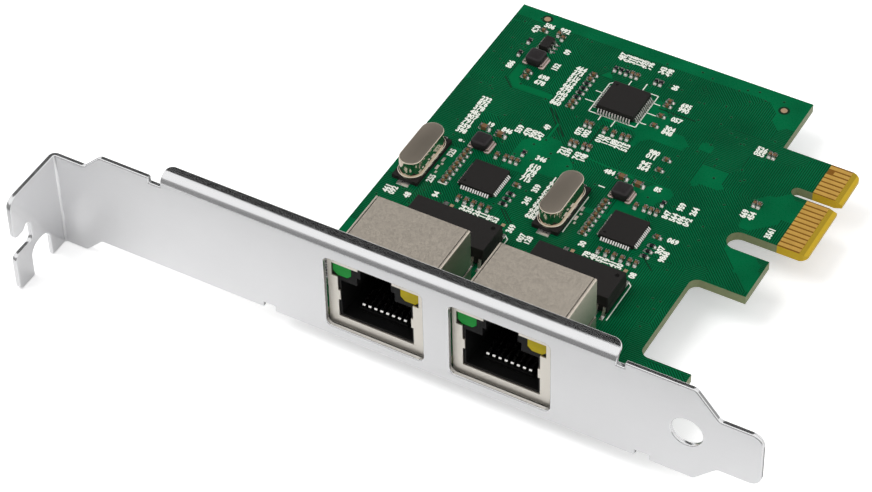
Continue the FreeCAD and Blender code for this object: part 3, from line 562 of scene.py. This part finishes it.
def can_material(look):
    """Drawn can: mirror-bright sides and rim, satin top."""
    recipe = Recipe("Crystal can")
    facing = recipe.normal()
    top = recipe.over(facing["Z"], 0.97)
    height = recipe.separate(recipe.scaled(1.0))["Z"]
    is_lid = recipe.times(top, recipe.over(height, BOARD_TOP + 3.0))
    fine = recipe.noise(3.0, stretch=(1, 0.2, 1))
    base = recipe.mix(fine, shaded(look.can, 0.92), look.can)
    recipe.shade(Base_Color=base, Metallic=1.0, Roughness=recipe.blend(is_lid, 0.1, 0.36))
    recipe.bump(recipe.times(fine, is_lid), 0.001)
    return recipe.material


def wire_material(look):
    """Spring wire, painted dark as if in shade, with a painted glint near the mouth that glows
    though it is no lamp.
    """
    recipe = Recipe("Spring wire")
    where = recipe.separate(recipe.scaled(1.0))
    painted_glint = recipe.times(recipe.over(where["Z"], WIRE_PAINTED_GLINT_LOW),
                        recipe.under(where["Z"], WIRE_PAINTED_GLINT_HIGH))
    painted_glint = recipe.times(painted_glint, recipe.under(where["Y"], WIRE_PAINTED_GLINT_Y))
    fine = recipe.noise(2.0, detail=2.0)
    # Painted shade: outside the glint the wire is darkened to 0.16 of its tint, as if in the
    # jack's shadow
    base = recipe.mix(painted_glint, shaded(look.solder, 0.16), look.solder)
    # Painted light: the glint takes the full tint, is not metallic, and glows through its
    # emission
    recipe.shade(Base_Color=base, Metallic=recipe.math("SUBTRACT", 1.0, painted_glint),
                 Roughness=recipe.span(fine, 0.24, 0.34), Emission_Color=look.solder,
                 Emission_Strength=recipe.times(painted_glint, WIRE_PAINTED_GLOW))
    return recipe.material


def ink_material(look):
    return coat("Printing", look.printing, 5.0, 0.9, 0.004, Roughness=0.6)


def solder_material(look):
    """One solder for every step, made when it is first asked for."""
    return bpy.data.materials.get("Solder") or coat(
        "Solder", look.solder, 2.5, 0.85, 0.01, rough=(0.22, 0.4), Metallic=1.0)


def gold_material(look):
    return coat("Gold", look.gold, 0.5, 0.9, 0, rough=(0.34, 0.42), detail=2.0, Metallic=0.5)


def look_of(context):
    return context.scene.card_finishes


def sizes_of(context):
    return context.scene.card_sizes


# Operators

class CARD_OT_bracket(bpy.types.Operator):
    """Finishes the folded bracket and its screws"""

    bl_idname = "card.bracket"
    bl_label = "Bracket"

    screw_edge = 0.13

    def execute(self, context):
        look = look_of(context)
        dress("bracket", bracket_material(look))
        ease_edges("bracket", sizes_of(context).sheet_edge, steps=3, clamp=False)
        screw = metal("Screw steel", look.steel, rough=(0.2, 0.35), grain=(4, 4, 4),
                      relief=0.004, vary=0.12)
        dress("bracket_screws", screw)
        ease_edges("bracket_screws", self.screw_edge * MM)
        return {"FINISHED"}


class CARD_OT_board(bpy.types.Operator):
    """Finishes the board, its pours, marks and vias"""

    bl_idname = "card.board"
    bl_label = "Board"

    # Outlines of wide copper, cuts between copper areas, and alignment marks
    pours = (
        ((-59.2, 6.0), (-59.2, 2.4), (-57.6, 0.7), (-50.9, 0.7), (-50.9, 1.9), (-56.6, 1.9),
         (-57.9, 3.2), (-57.9, 6.0)),
        ((-46.3, 9.9), (-45.2, 11.4), (-44.3, 9.9)),
        ((-47.2, -9.0), (-46.8, -9.0), (-46.8, -3.6), (-47.2, -3.6)),
        ((-30.9, -9.5), (-30.9, -8.9), (-39.4, -8.4), (-39.4, -8.6)),
    )
    grooves = (
        ((-49.9, -0.8), (-45.6, -6.0)), ((-49.2, -0.8), (-44.9, -6.0)),
        ((-59.9, 2.4), (-57.7, 0.4)), ((-45.9, -24.8), (-43.2, -27.4)),
        ((-45.3, -24.8), (-43.0, -26.9)), ((-22.2, -23.6), (-19.4, -26.0)),
        ((-34.6, 7.1), (-28.0, 7.1)), ((-40.6, -0.4), (-40.6, -8.0)),
    )
    marks = ((-60.38, 17.97), (-16.82, 16.0))
    mark_discs = ((0.95, 0.006, 1), (0.55, 0.03, 0))
    mark_segments = 32
    pour_share = 0.6
    groove_width = 0.22
    groove_height = 0.008
    # Area of the vias, what they keep clear of other pieces, and their shape
    via_low = (-64.5, -40.0)
    via_high = (-14.5, 18.5)
    via_clearance = 0.7
    via_height = 0.02
    via_taper = 0.8
    via_ring = 0.35
    via_segments = 12

    def execute(self, context):
        look = look_of(context)
        sizes = sizes_of(context)
        dress("circuit_board", board_material(look))
        gold = gold_material(look)
        dress("edge_contacts_top", gold)
        dress("edge_contacts_bottom", gold)
        pour = pour_material(look)
        bm = bmesh.new()
        for outline in self.pours:
            corners = [bm.verts.new(Vector((x, y, BOARD_TOP)) * MM) for x, y in outline]
            face = bm.faces.new(corners)
            raised = bmesh.ops.extrude_face_region(bm, geom=[face])["geom"]
            verts = [item for item in raised if isinstance(item, bmesh.types.BMVert)]
            bmesh.ops.translate(bm, vec=(0, 0, sizes.ink_height * self.pour_share),
                                verts=verts)
        make_piece("copper_pours", bm, [pour])

        groove = plastic("Groove in copper", shaded(look.mask_dark, 0.55), rough=(0.4, 0.5),
                         relief=0.003)
        bm = bmesh.new()
        for start, end in self.grooves:
            add_line(bm, start, end, self.groove_width, BOARD_TOP,
                     BOARD_TOP + self.groove_height)
        make_piece("copper_grooves", bm, [groove])

        copper = copper_material("Bare copper", look)
        bm = bmesh.new()
        for x, y in self.marks:
            for radius, height, finish in self.mark_discs:
                disc = add_disc(bm, (x, y, BOARD_TOP + height / 2), radius * MM, radius * MM,
                                height * MM, self.mark_segments)
                for face in {face for vert in disc for face in vert.link_faces}:
                    face.material_index = finish
        make_piece("alignment_marks", bm, [copper, groove])
        self.vias(look, sizes, pour, groove)
        return {"FINISHED"}

    def vias(self, look, sizes, pour, groove):
        """Plated holes under the mask, kept clear of everything that stands on the board."""
        busy = [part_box(name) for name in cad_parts
                if name.endswith(("_body", "_base", "_core", "_shield"))]
        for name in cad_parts:
            if name.startswith("chip_") and name.endswith("_ends"):
                busy += [(low * MM, high * MM) for low, high in node_islands(name)]
        draw = random.Random(7)
        bm = bmesh.new()
        placed = 0
        while placed < sizes.via_count:
            x = draw.uniform(self.via_low[0], self.via_high[0])
            y = draw.uniform(self.via_low[1], self.via_high[1])
            room = self.via_clearance
            clear = all(not (low.x / MM - room < x < high.x / MM + room
                             and low.y / MM - room < y < high.y / MM + room)
                        for low, high in busy)
            if not clear:
                continue
            placed += 1
            disc = add_disc(bm, (x, y, BOARD_TOP + self.via_height / 2), sizes.via_radius,
                            sizes.via_radius * self.via_taper, self.via_height * MM,
                            self.via_segments)
            for face in inset_top(bm, disc, sizes.via_radius * self.via_ring):
                face.material_index = 1
        make_piece("vias", bm, [pour, groove])


class CARD_OT_printing(bpy.types.Operator):
    """Prints outlines, ticks and plain numbers on the board"""

    bl_idname = "card.printing"
    bl_label = "Printing"

    # Figures: share of the font's size that a figure fills, width, stroke and spacing
    figure_share = 0.7
    figure_width = 0.84
    figure_stroke = 0.05
    figure_spacing = 1.02

    # Printed lines: runs of points on the board
    lines = (
        ((-44.2, 1.35), (-35.9, 1.35), (-35.9, 9.6), (-43.3, 9.6), (-44.2, 8.7), (-44.2, 1.35)),
        ((-45.4, 6.15), (-44.2, 6.15)), ((-46.0, 3.6), (-44.2, 3.6)),
        ((-41.35, 9.6), (-41.35, 10.9)), ((-38.8, 9.6), (-38.8, 11.4)),
        ((-35.9, 7.75), (-34.7, 7.75)), ((-35.9, 5.25), (-34.2, 5.25)),
        ((-35.9, 2.7), (-34.7, 2.7)), ((-41.9, 0.1), (-41.9, 1.35)),
        ((-39.4, -0.4), (-39.4, 1.35)), ((-35.1, -25.0), (-35.1, -16.2)),
        ((-20.65, -38.5), (-20.65, -30.4), (-21.3, -29.8)),
        ((-41.75, -38.5), (-41.75, -30.4), (-42.4, -29.8)), ((-57.4, -24.3), (-55.9, -24.3)),
    )
    # Columns of stacked numbers of three figures: middle of the lowest, how many and step
    columns = (
        ((-59.85, -12.3), 8, 1.18), ((-49.75, 0.5), 9, 1.13), ((-41.0, -24.3), 9, 1.12),
        ((-45.6, -17.4), 4, 1.07), ((-30.9, 8.4), 2, 1.1), ((-30.9, 2.5), 2, 1.0),
        ((-30.6, -3.6), 2, 1.05), ((-30.6, -6.5), 2, 1.05), ((-16.0, 5.0), 2, 1.05),
        ((-54.2, 3.5), 2, 1.4),
    )
    # Single numbers that read along X
    level = (
        (-56.4, -8.95, 2), (-53.4, -8.95, 3), (-45.6, -12.2, 3), (-34.8, -9.75, 3),
        (-26.4, -9.8, 2), (-19.3, -18.9, 3), (-59.2, 16.5, 3), (-56.4, 16.6, 3),
        (-30.85, 5.8, 3),
    )
    # Rows of single numbers that read along Y: place on Y, figures, and places on X
    upright = (
        (-7.6, 3, (-51.85, -50.4, -49.3, -48.2)), (-5.2, 2, (-48.15,)), (-14.3, 1, (-58.6,)),
        (-17.5, 3, (-58.65,)), (-24.1, 3, (-58.65,)), (-26.9, 2, (-56.2,)),
        (-29.2, 3, (-63.6, -62.55)), (-29.1, 2, (-60.1,)),
        (-27.55, 2, (-51.0, -49.85, -48.6, -47.45, -46.3, -45.4)),
        (-8.8, 3, (-43.55, -42.55, -40.95, -39.85)), (-18.4, 3, (-43.1,)),
        (-21.5, 3, (-43.1,)), (-13.2, 1, (-34.35,)), (-11.5, 3, (-21.4, -19.2)),
        (-14.1, 3, (-22.7, -21.45, -20.3, -19.15)), (-21.5, 3, (-20.1,)),
        (-22.5, 4, (-19.0,)), (-25.85, 2, (-31.2,)),
        (-27.5, 2, (-29.6, -28.45, -27.3, -26.25, -25.15, -24.05)), (-28.3, 2, (-21.4,)),
        (-28.1, 3, (-42.35,)), (-29.1, 3, (-40.0, -38.85)), (14.9, 3, (-60.9,)),
        (5.3, 3, (-60.45,)), (12.2, 2, (-53.65,)), (8.1, 3, (-53.6,)),
        (15.5, 3, (-45.3, -44.25, -43.2, -42.2, -41.2, -40.3, -38.0, -36.8)),
        (12.7, 2, (-34.4,)), (-3.6, 3, (-43.3, -42.05, -39.65, -38.5, -37.3, -36.2, -35.05)),
        (-8.2, 3, (-12.3, -11.1)), (-10.3, 4, (-7.0,)),
    )

    def execute(self, context):
        sizes = sizes_of(context)
        ink = ink_material(look_of(context))
        bm = bmesh.new()
        top = BOARD_TOP + sizes.ink_height / MM
        for run in self.lines:
            for start, end in zip(run, run[1:]):
                add_line(bm, start, end, sizes.line_width / MM, BOARD_TOP, top)
        make_piece("printed_lines", bm, [ink])

        numbers = []
        for (x, y), count, step in self.columns:
            numbers += [(x, y + k * step, 3, 0) for k in range(count)]
        numbers += [(x, y, figures, 0) for x, y, figures in self.level]
        for y, figures, row in self.upright:
            numbers += [(x, y, figures, 90) for x in row]
        draw = random.Random(3)
        bm = bmesh.new()
        for x, y, figures, angle in numbers:
            text = "".join(str(draw.randint(0, 9)) for k in range(figures))
            self.add_number(bm, text, x, y, angle, sizes)
        make_piece("printed_numbers", bm, [ink])
        return {"FINISHED"}

    def add_number(self, bm, text, x, y, angle, sizes):
        """Adds a number as a thin flat mesh, centred at a place on the board."""
        curve = bpy.data.curves.new("number", "FONT")
        curve.body = text
        curve.size = 1.0
        curve.resolution_u = 2
        curve.align_x = "CENTER"
        curve.align_y = "CENTER"
        curve.space_character = self.figure_spacing
        curve.offset = self.figure_stroke
        letters = add_object("number", curve)
        bpy.context.view_layer.update()
        flat = bpy.data.meshes.new_from_object(letters)
        size = sizes.figure_height / self.figure_share
        turn = Matrix.Rotation(math.radians(angle), 4, "Z")
        place = Matrix.Translation(Vector((x, y, BOARD_TOP)) * MM)
        lift = Matrix.Translation((0, 0, sizes.ink_height))
        grow = Matrix.Diagonal((size * self.figure_width, size, 1, 1))
        flat.transform(lift @ place @ turn @ grow)
        bm.from_mesh(flat)
        bpy.data.meshes.remove(flat)
        bpy.data.objects.remove(letters)
        bpy.data.curves.remove(curve)


class CARD_OT_solder(bpy.types.Operator):
    """Adds pads and solder to everything that is mounted on the board"""

    bl_idname = "card.solder"
    bl_label = "Solder"

    # Pads without a component: middle, width and depth
    bare_pads = (
        (-59.05, -19.45, 0.45, 1.0), (-58.75, -20.45, 0.38, 0.42), (-59.1, -21.45, 0.45, 1.05),
        (-58.75, -22.5, 0.36, 0.5), (-34.7, -19.0, 0.45, 1.0), (-34.4, -20.15, 0.4, 0.4),
        (-34.7, -21.3, 0.5, 1.0), (-34.4, -22.35, 0.36, 0.5), (-53.9, -27.9, 0.85, 0.8),
        (-32.9, -27.9, 0.8, 0.7), (-55.8, 12.9, 0.7, 0.42), (-55.8, 12.0, 0.7, 0.42),
        (-55.75, 11.1, 0.7, 0.42),
    )
    copper_pads = ((-52.85, -27.95, 0.6, 0.6), (-43.8, -27.95, 0.6, 0.6),
                   (-31.85, -27.85, 0.6, 0.6), (-22.8, -27.85, 0.6, 0.6))
    # Pads of leads: margin round a lead, and share of the full pad height
    lead_margin = 0.06
    lead_pad_share = 0.8
    # Pads of chips: under the end cap, past the solder, and at the sides
    pad_under_cap = 0.25
    pad_past_solder = 0.12
    pad_side = 0.04
    fillet_width = 0.52
    fillet_shift = 0.1
    pin_radius = 0.26
    joint_segments = 20
    tab_growth = 1.35

    def execute(self, context):
        look = look_of(context)
        sizes = sizes_of(context)
        solder = solder_material(look)
        pad = sizes.pad_height / MM
        chip_bodies = []
        for name in ("chip_capacitor_bodies", "chip_resistor_bodies"):
            chip_bodies += [(low + high) / 2 for low, high in node_islands(name)]
        pads = bmesh.new()
        fillets = bmesh.new()
        for name in ("chip_capacitor_ends", "chip_resistor_ends"):
            for low, high in node_islands(name):
                middle = (low + high) / 2
                body = min(chip_bodies, key=lambda place: (place - middle).length)
                along = 0 if high.x - low.x < high.y - low.y else 1
                outward = 1 if middle[along] > body[along] else -1
                self.add_fillet(fillets, pads, low, high, along, outward, sizes, pad)
        self.add_pads(pads, self.bare_pads, pad)
        leads = [name for ending in ("_leads", "_joints", "_terminals")
                 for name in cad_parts
                 if name.endswith(ending) and not name.startswith("jack")]
        for name in leads:
            for low, high in node_islands(name):
                rim = self.lead_margin
                add_block(pads, (low.x - rim, low.y - rim, BOARD_TOP),
                          (high.x + rim, high.y + rim, BOARD_TOP + pad * self.lead_pad_share))
        make_piece("tinned_pads", pads, [solder])
        make_piece("solder_fillets", fillets, [solder], smooth=True)

        copper = copper_material("Pad copper", look)
        bm = bmesh.new()
        self.add_pads(bm, self.copper_pads, pad)
        make_piece("copper_pads", bm, [copper])
        self.joints_under_board(sizes, solder)
        return {"FINISHED"}

    def add_pads(self, bm, pads, height):
        for x, y, width, depth in pads:
            add_block(bm, (x - width / 2, y - depth / 2, BOARD_TOP),
                      (x + width / 2, y + depth / 2, BOARD_TOP + height))

    def add_fillet(self, fillets, pads, low, high, along, outward, sizes, pad):
        """Solder run from one end cap of a chip, on its own pad."""
        across = 1 - along
        reach = sizes.fillet_reach / MM
        face = high[along] if outward > 0 else low[along]
        width = high[across] - low[across]
        ball = bmesh.ops.create_icosphere(fillets, subdivisions=2, radius=1.0)["verts"]
        scale = Vector((0, 0, sizes.fillet_rise))
        scale[along] = reach * MM
        scale[across] = width * self.fillet_width * MM
        bmesh.ops.scale(fillets, vec=scale, verts=ball)
        centre = Vector((0, 0, BOARD_TOP + pad * 0.5))
        centre[along] = face + outward * reach * self.fillet_shift
        centre[across] = (low[across] + high[across]) / 2
        bmesh.ops.translate(fillets, vec=centre * MM, verts=ball)
        pad_low = Vector((0, 0, BOARD_TOP))
        pad_high = Vector((0, 0, BOARD_TOP + pad))
        inner = face - outward * self.pad_under_cap
        outer = face + outward * (reach + self.pad_past_solder)
        pad_low[along], pad_high[along] = sorted((inner, outer))
        pad_low[across] = low[across] - self.pad_side
        pad_high[across] = high[across] + self.pad_side
        add_block(pads, pad_low, pad_high)

    def joints_under_board(self, sizes, solder):
        """Solder cones round the pins of the jacks."""
        pins = []
        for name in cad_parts:
            if name.startswith("jack") and name.endswith(("_contacts", "_lamp_leads")):
                for low, high in node_islands(name):
                    half = (high.x - low.x) / 2
                    pins.append(((low.x + high.x) / 2, high.y - half, 1.0))
        for name in ("jack_1_shield", "jack_2_shield"):
            low, high = node_box(name)
            middle = (low.x + high.x) / 2
            for side in (-1, 1):
                pins.append((middle + side * SHIELD_TAB_HALF_SPAN,
                             low.y + SHIELD_TAB_FROM_FACE, self.tab_growth))
        bm = bmesh.new()
        height = sizes.joint_height / MM
        for x, y, grow in pins:
            add_disc(bm, (x, y, BOARD_BOTTOM - height / 2), self.pin_radius * grow * MM,
                     sizes.joint_radius * grow, height * MM, self.joint_segments)
        make_piece("pin_joints", bm, [solder], smooth=True)


class CARD_OT_jacks(bpy.types.Operator):
    """Finishes the modular jacks and adds the ridge of their combs"""

    bl_idname = "card.jacks"
    bl_label = "Jacks"

    # Ridge in front of the wires, from the jack's face and in height above the board's middle
    comb_from_face = 2.15
    comb_width = 0.35
    comb_half = 4.2
    comb_low = 0.58
    comb_high = 1.12
    comb_rounding = 0.06

    def execute(self, context):
        look = look_of(context)
        housing = plastic("Jack housing", look.housing, rough=(0.5, 0.62))
        wire = wire_material(look)
        finishes = {"shield": shield_material(look), "housing": housing, "contacts": wire,
                    "lamp_leads": wire, "green_lamp": lens("Green lamp", look.green_lamp),
                    "yellow_lamp": lens("Yellow lamp", look.yellow_lamp)}
        for jack in ("jack_1_", "jack_2_"):
            for part, material in finishes.items():
                dress(jack + part, material)
            self.comb(jack, housing)
        return {"FINISHED"}

    def comb(self, jack, housing):
        """Ridge of the moulding that stands in front of the spring wires."""
        low, high = node_box(jack + "shield")
        middle = (low.x + high.x) / 2
        front = low.y + self.comb_from_face
        bm = bmesh.new()
        made = add_block(bm, (middle - self.comb_half, front, self.comb_low),
                         (middle + self.comb_half, front + self.comb_width, self.comb_high))
        round_edges(bm, edges_among(made, lambda edge: True), self.comb_rounding, 2)
        make_piece(jack + "comb_ridge", bm, [housing])


class CARD_OT_crystals(bpy.types.Operator):
    """Builds the crystals' drawn cans and finishes their bases"""

    bl_idname = "card.crystals"
    bl_label = "Crystals"

    flange_height = 0.35
    flange_rim = 0.14
    wall_inset = 0.275
    wall_overlap = 0.2
    # Corner radius as a share of the width, just short of a half circle
    end_round = 0.495

    def execute(self, context):
        look = look_of(context)
        sizes = sizes_of(context)
        can = can_material(look)
        base = plastic("Crystal base", look.chip)
        solder = solder_material(look)
        for name in ("crystal_1_", "crystal_2_"):
            low, high = node_box(name + "can")
            bm = bmesh.new()
            flange_top = low.z + self.flange_height
            add_rounded_block(bm, low, (high.x, high.y, flange_top),
                              (high.x - low.x) * self.end_round, self.flange_rim,
                              corner_steps=14)
            inset = Vector((self.wall_inset, self.wall_inset, 0))
            wall_low = low + inset
            wall_high = high - inset
            add_rounded_block(bm, (wall_low.x, wall_low.y, flange_top - self.wall_overlap),
                              wall_high, (wall_high.x - wall_low.x) * self.end_round,
                              sizes.rim_radius / MM, corner_steps=14, rim_steps=4)
            piece = make_piece(name + "drawn_can", bm, [can], smooth=True)
            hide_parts(name + "can")
            dress(name + "base", base)
            dress(name + "terminals", solder)
        return {"FINISHED"}


class CARD_OT_chips(bpy.types.Operator):
    """Finishes chips, transformers, regulator and chip components"""

    bl_idname = "card.chips"
    bl_label = "Chips"

    # Dimple at a corner: node, share of the body's width and depth, and radius
    dimples = (
        ("controller_1_body", 0.13, 0.13, 0.28), ("controller_2_body", 0.13, 0.13, 0.28),
        ("switch_body", 0.14, 0.86, 0.3), ("transformer_1_body", 0.93, 0.8, 0.42),
        ("transformer_2_body", 0.93, 0.8, 0.42),
    )
    dimple_height = 0.02
    dimple_lift = 0.005
    dimple_taper = 0.92
    dimple_ring = 0.15
    dimple_depth = 0.012
    dimple_segments = 28
    body_edge = 0.07

    def execute(self, context):
        look = look_of(context)
        chip = plastic("Chip body", look.chip)
        solder = solder_material(look)
        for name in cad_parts:
            if name.startswith(("controller", "switch", "regulator", "transformer")):
                if name.endswith("_body"):
                    dress(name, chip)
                    ease_edges(name, self.body_edge * MM)
                else:
                    dress(name, solder)
        dress("chip_capacitor_bodies", plastic("Capacitor", look.capacitor, rough=(0.35, 0.5)))
        dress("chip_resistor_bodies", plastic("Resistor", look.resistor, rough=(0.25, 0.4)))
        dress("chip_capacitor_ends", solder)
        dress("chip_resistor_ends", solder)
        dimple = plastic("Dimple", shaded(look.chip, 0.45), rough=(0.25, 0.35))
        bm = bmesh.new()
        for name, across, along, radius in self.dimples:
            low, high = node_box(name)
            size = high - low
            place = (low.x + size.x * across, low.y + size.y * along,
                     high.z + self.dimple_lift)
            ring = add_disc(bm, place, radius * MM, radius * self.dimple_taper * MM,
                            self.dimple_height * MM, self.dimple_segments)
            inset_top(bm, ring, radius * self.dimple_ring * MM, -self.dimple_depth * MM)
        make_piece("pin_one_dimples", bm, [dimple])
        return {"FINISHED"}


class CARD_OT_chokes(bpy.types.Operator):
    """Builds the choke cores and their folded terminals"""

    bl_idname = "card.chokes"
    bl_label = "Chokes"

    cap_radius = 0.62
    cap_rim = 0.42
    waist_height = 0.75
    waist_inset = 0.25
    waist_radius = 0.4
    waist_overlap = 0.1
    terminal_edge = 0.12
    foot_reach = 0.28
    foot_height = 0.3
    foot_radius = 0.35
    foot_rim = 0.2

    def execute(self, context):
        look = look_of(context)
        ferrite = plastic("Ferrite", look.ferrite, rough=(0.3, 0.45), grain=5.0)
        ends = metal("Choke terminal", look.choke_end, rough=(0.3, 0.45), grain=(3, 3, 3))
        for name in ("choke_1_", "choke_2_", "choke_3_"):
            low, high = node_box(name + "core")
            bm = bmesh.new()
            waist = low.z + self.waist_height
            add_rounded_block(bm, (low.x, low.y, waist), high, self.cap_radius, self.cap_rim,
                              corner_steps=6, rim_steps=4)
            inset = self.waist_inset
            add_rounded_block(bm, (low.x + inset, low.y + inset, low.z),
                              (high.x - inset, high.y - inset, waist + self.waist_overlap),
                              self.waist_radius, 0, corner_steps=4)
            piece = make_piece(name + "wound_core", bm, [ferrite], smooth=True)
            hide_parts(name + "core")
            dress(name + "terminals", ends)
            ease_edges(name + "terminals", self.terminal_edge * MM, steps=3)
            bm = bmesh.new()
            grow = Vector((self.foot_reach, self.foot_reach, 0))
            for foot_low, foot_high in node_islands(name + "terminals"):
                outer_low = foot_low - grow
                outer_high = foot_high + grow
                add_rounded_block(bm, (outer_low.x, outer_low.y, BOARD_TOP),
                                  (outer_high.x, outer_high.y, BOARD_TOP + self.foot_height),
                                  self.foot_radius, self.foot_rim, corner_steps=5)
            make_piece(name + "foot_solder", bm, [ends], smooth=True)
        return {"FINISHED"}


class CARD_OT_stage(bpy.types.Operator):
    """Sets floor, soft lights, background and the camera"""

    bl_idname = "card.stage"
    bl_label = "Stage"

    floor_size = 3.0
    floor_glow = 0.4
    soft_level = 0.45
    lamp_target = (-40, -25, 0)

    # Soft lamps: place, width in metres and power; all of them look at the card
    lamps = (
        ("key", (-260, -120, 420), 0.34, 1.25),
        ("fill", (330, -260, 260), 0.4, 0.6),
        ("back", (40, 420, 300), 0.4, 0.5),
    )
    # Cards that only polished surfaces see: name, place, what each faces, size and grey level
    flags = (
        ("upper_card", (-240, 330, 400), (-40, -10, 0), (0.42, 0.42), 0.0),
        ("front_card", (-100, -135, 37), (-100, -128.5, 44.6), (0.5, 0.132), 0.27),
    )

    def execute(self, context):
        self.floor(look_of(context))
        self.lights()
        for flag in self.flags:
            self.flag(*flag)
        self.world()
        self.camera()
        context.scene.view_settings.view_transform = "Standard"
        return {"FINISHED"}

    def floor(self, look):
        low, high = cad_box
        bm = bmesh.new()
        bmesh.ops.create_grid(bm, x_segments=1, y_segments=1, size=self.floor_size)
        bmesh.ops.translate(bm, vec=((low.x + high.x) / 2, (low.y + high.y) / 2, low.z),
                            verts=bm.verts)
        recipe = Recipe("Floor")
        seen = recipe.add("ShaderNodeLightPath").outputs["Is Camera Ray"]
        recipe.shade(Base_Color=look.floor, Roughness=0.9, Specular_IOR_Level=0.1,
                     Emission_Color=(1, 1, 1, 1),
                     Emission_Strength=recipe.times(seen, self.floor_glow))
        object_from("floor", bm, [recipe.material])

    def lights(self):
        target = Vector(self.lamp_target) * MM
        for name, place, side, power in self.lamps:
            light = bpy.data.lights.new(name, "AREA")
            light.shape = "DISK"
            light.size = side
            light.energy = power
            lamp = add_object(name, light)
            lamp.location = Vector(place) * MM
            lamp.rotation_mode = "QUATERNION"
            lamp.rotation_quaternion = (target - lamp.location).to_track_quat("-Z", "Y")
            lamp.visible_glossy = False

    def flag(self, name, place, target, size, grey):
        """Card that darkens part of the reflections, as in a studio."""
        place = Vector(place) * MM
        facing = (Vector(target) * MM - place).to_track_quat("Z", "Y")
        bm = bmesh.new()
        bmesh.ops.create_grid(bm, x_segments=1, y_segments=1, size=0.5)
        bmesh.ops.scale(bm, vec=(size[0], size[1], 1), verts=bm.verts)
        bmesh.ops.transform(bm, matrix=Matrix.Translation(place) @ facing.to_matrix().to_4x4(),
                            verts=bm.verts)
        recipe = Recipe(name)
        recipe.shade(Base_Color=(grey, grey, grey, 1.0), Specular_IOR_Level=0.0)
        card = object_from(name, bm, [recipe.material])
        card.visible_camera = False
        card.visible_diffuse = False
        card.visible_shadow = False
        card.visible_transmission = False
        card.visible_volume_scatter = False

    def world(self):
        """Plain soft surroundings; the camera and polished metal see them white."""
        world = bpy.data.worlds.new("Studio")
        bpy.context.scene.world = world
        world.use_nodes = True
        tree = world.node_tree
        back = tree.nodes["Background"]
        path = tree.nodes.new("ShaderNodeLightPath")
        white = path.outputs["Is Camera Ray"]
        for ray in ("Is Glossy Ray", "Is Transmission Ray"):
            either = tree.nodes.new("ShaderNodeMath")
            either.operation = "MAXIMUM"
            tree.links.new(white, either.inputs[0])
            tree.links.new(path.outputs[ray], either.inputs[1])
            white = either.outputs[0]
        level = tree.nodes.new("ShaderNodeMapRange")
        level.inputs["To Min"].default_value = self.soft_level
        level.inputs["To Max"].default_value = 1.0
        tree.links.new(white, level.inputs["Value"])
        back.inputs["Color"].default_value = (1, 1, 1, 1)
        tree.links.new(level.outputs[0], back.inputs["Strength"])

    def camera(self):
        data = bpy.data.cameras.new("camera")
        data.lens = CAMERA_LENS
        data.sensor_width = CAMERA_SENSOR
        data.sensor_fit = "HORIZONTAL"
        data.clip_start = 0.01
        data.clip_end = 20.0
        camera = add_object("camera", data)
        right = Vector(CAMERA_RIGHT).normalized()
        back = Vector(CAMERA_BACK).normalized()
        up = back.cross(right)
        axes = Matrix((right, up, back)).transposed()
        camera.matrix_world = Matrix.Translation(Vector(CAMERA_PLACE) * MM) @ axes.to_4x4()
        bpy.context.scene.camera = camera


class CARD_PT_panel(bpy.types.Panel):
    """Lists the steps, colours and sizes of the card"""

    bl_label = "Network card"
    bl_idname = "CARD_PT_panel"
    bl_space_type = "VIEW_3D"
    bl_region_type = "UI"
    bl_category = "Network card"

    def draw(self, context):
        column = self.layout.column()
        for step in STEPS:
            column.operator(step.bl_idname)
        for group in (context.scene.card_finishes, context.scene.card_sizes):
            for key in group.__annotations__:
                column.prop(group, key)


STEPS = (CARD_OT_stage, CARD_OT_bracket, CARD_OT_board, CARD_OT_printing, CARD_OT_solder,
         CARD_OT_jacks, CARD_OT_crystals, CARD_OT_chips, CARD_OT_chokes)
CLASSES = (CARD_PG_finishes, CARD_PG_sizes) + STEPS + (CARD_PT_panel,)


def register():
    for cls in CLASSES:
        bpy.utils.register_class(cls)
    bpy.types.Scene.card_finishes = PointerProperty(type=CARD_PG_finishes)
    bpy.types.Scene.card_sizes = PointerProperty(type=CARD_PG_sizes)


def unregister():
    del bpy.types.Scene.card_sizes
    del bpy.types.Scene.card_finishes
    for cls in reversed(CLASSES):
        bpy.utils.unregister_class(cls)


def main():
    register()
    for step in STEPS:
        group, name = step.bl_idname.split(".")
        getattr(getattr(bpy.ops, group), name)()


if __name__ == "__main__":
    main()
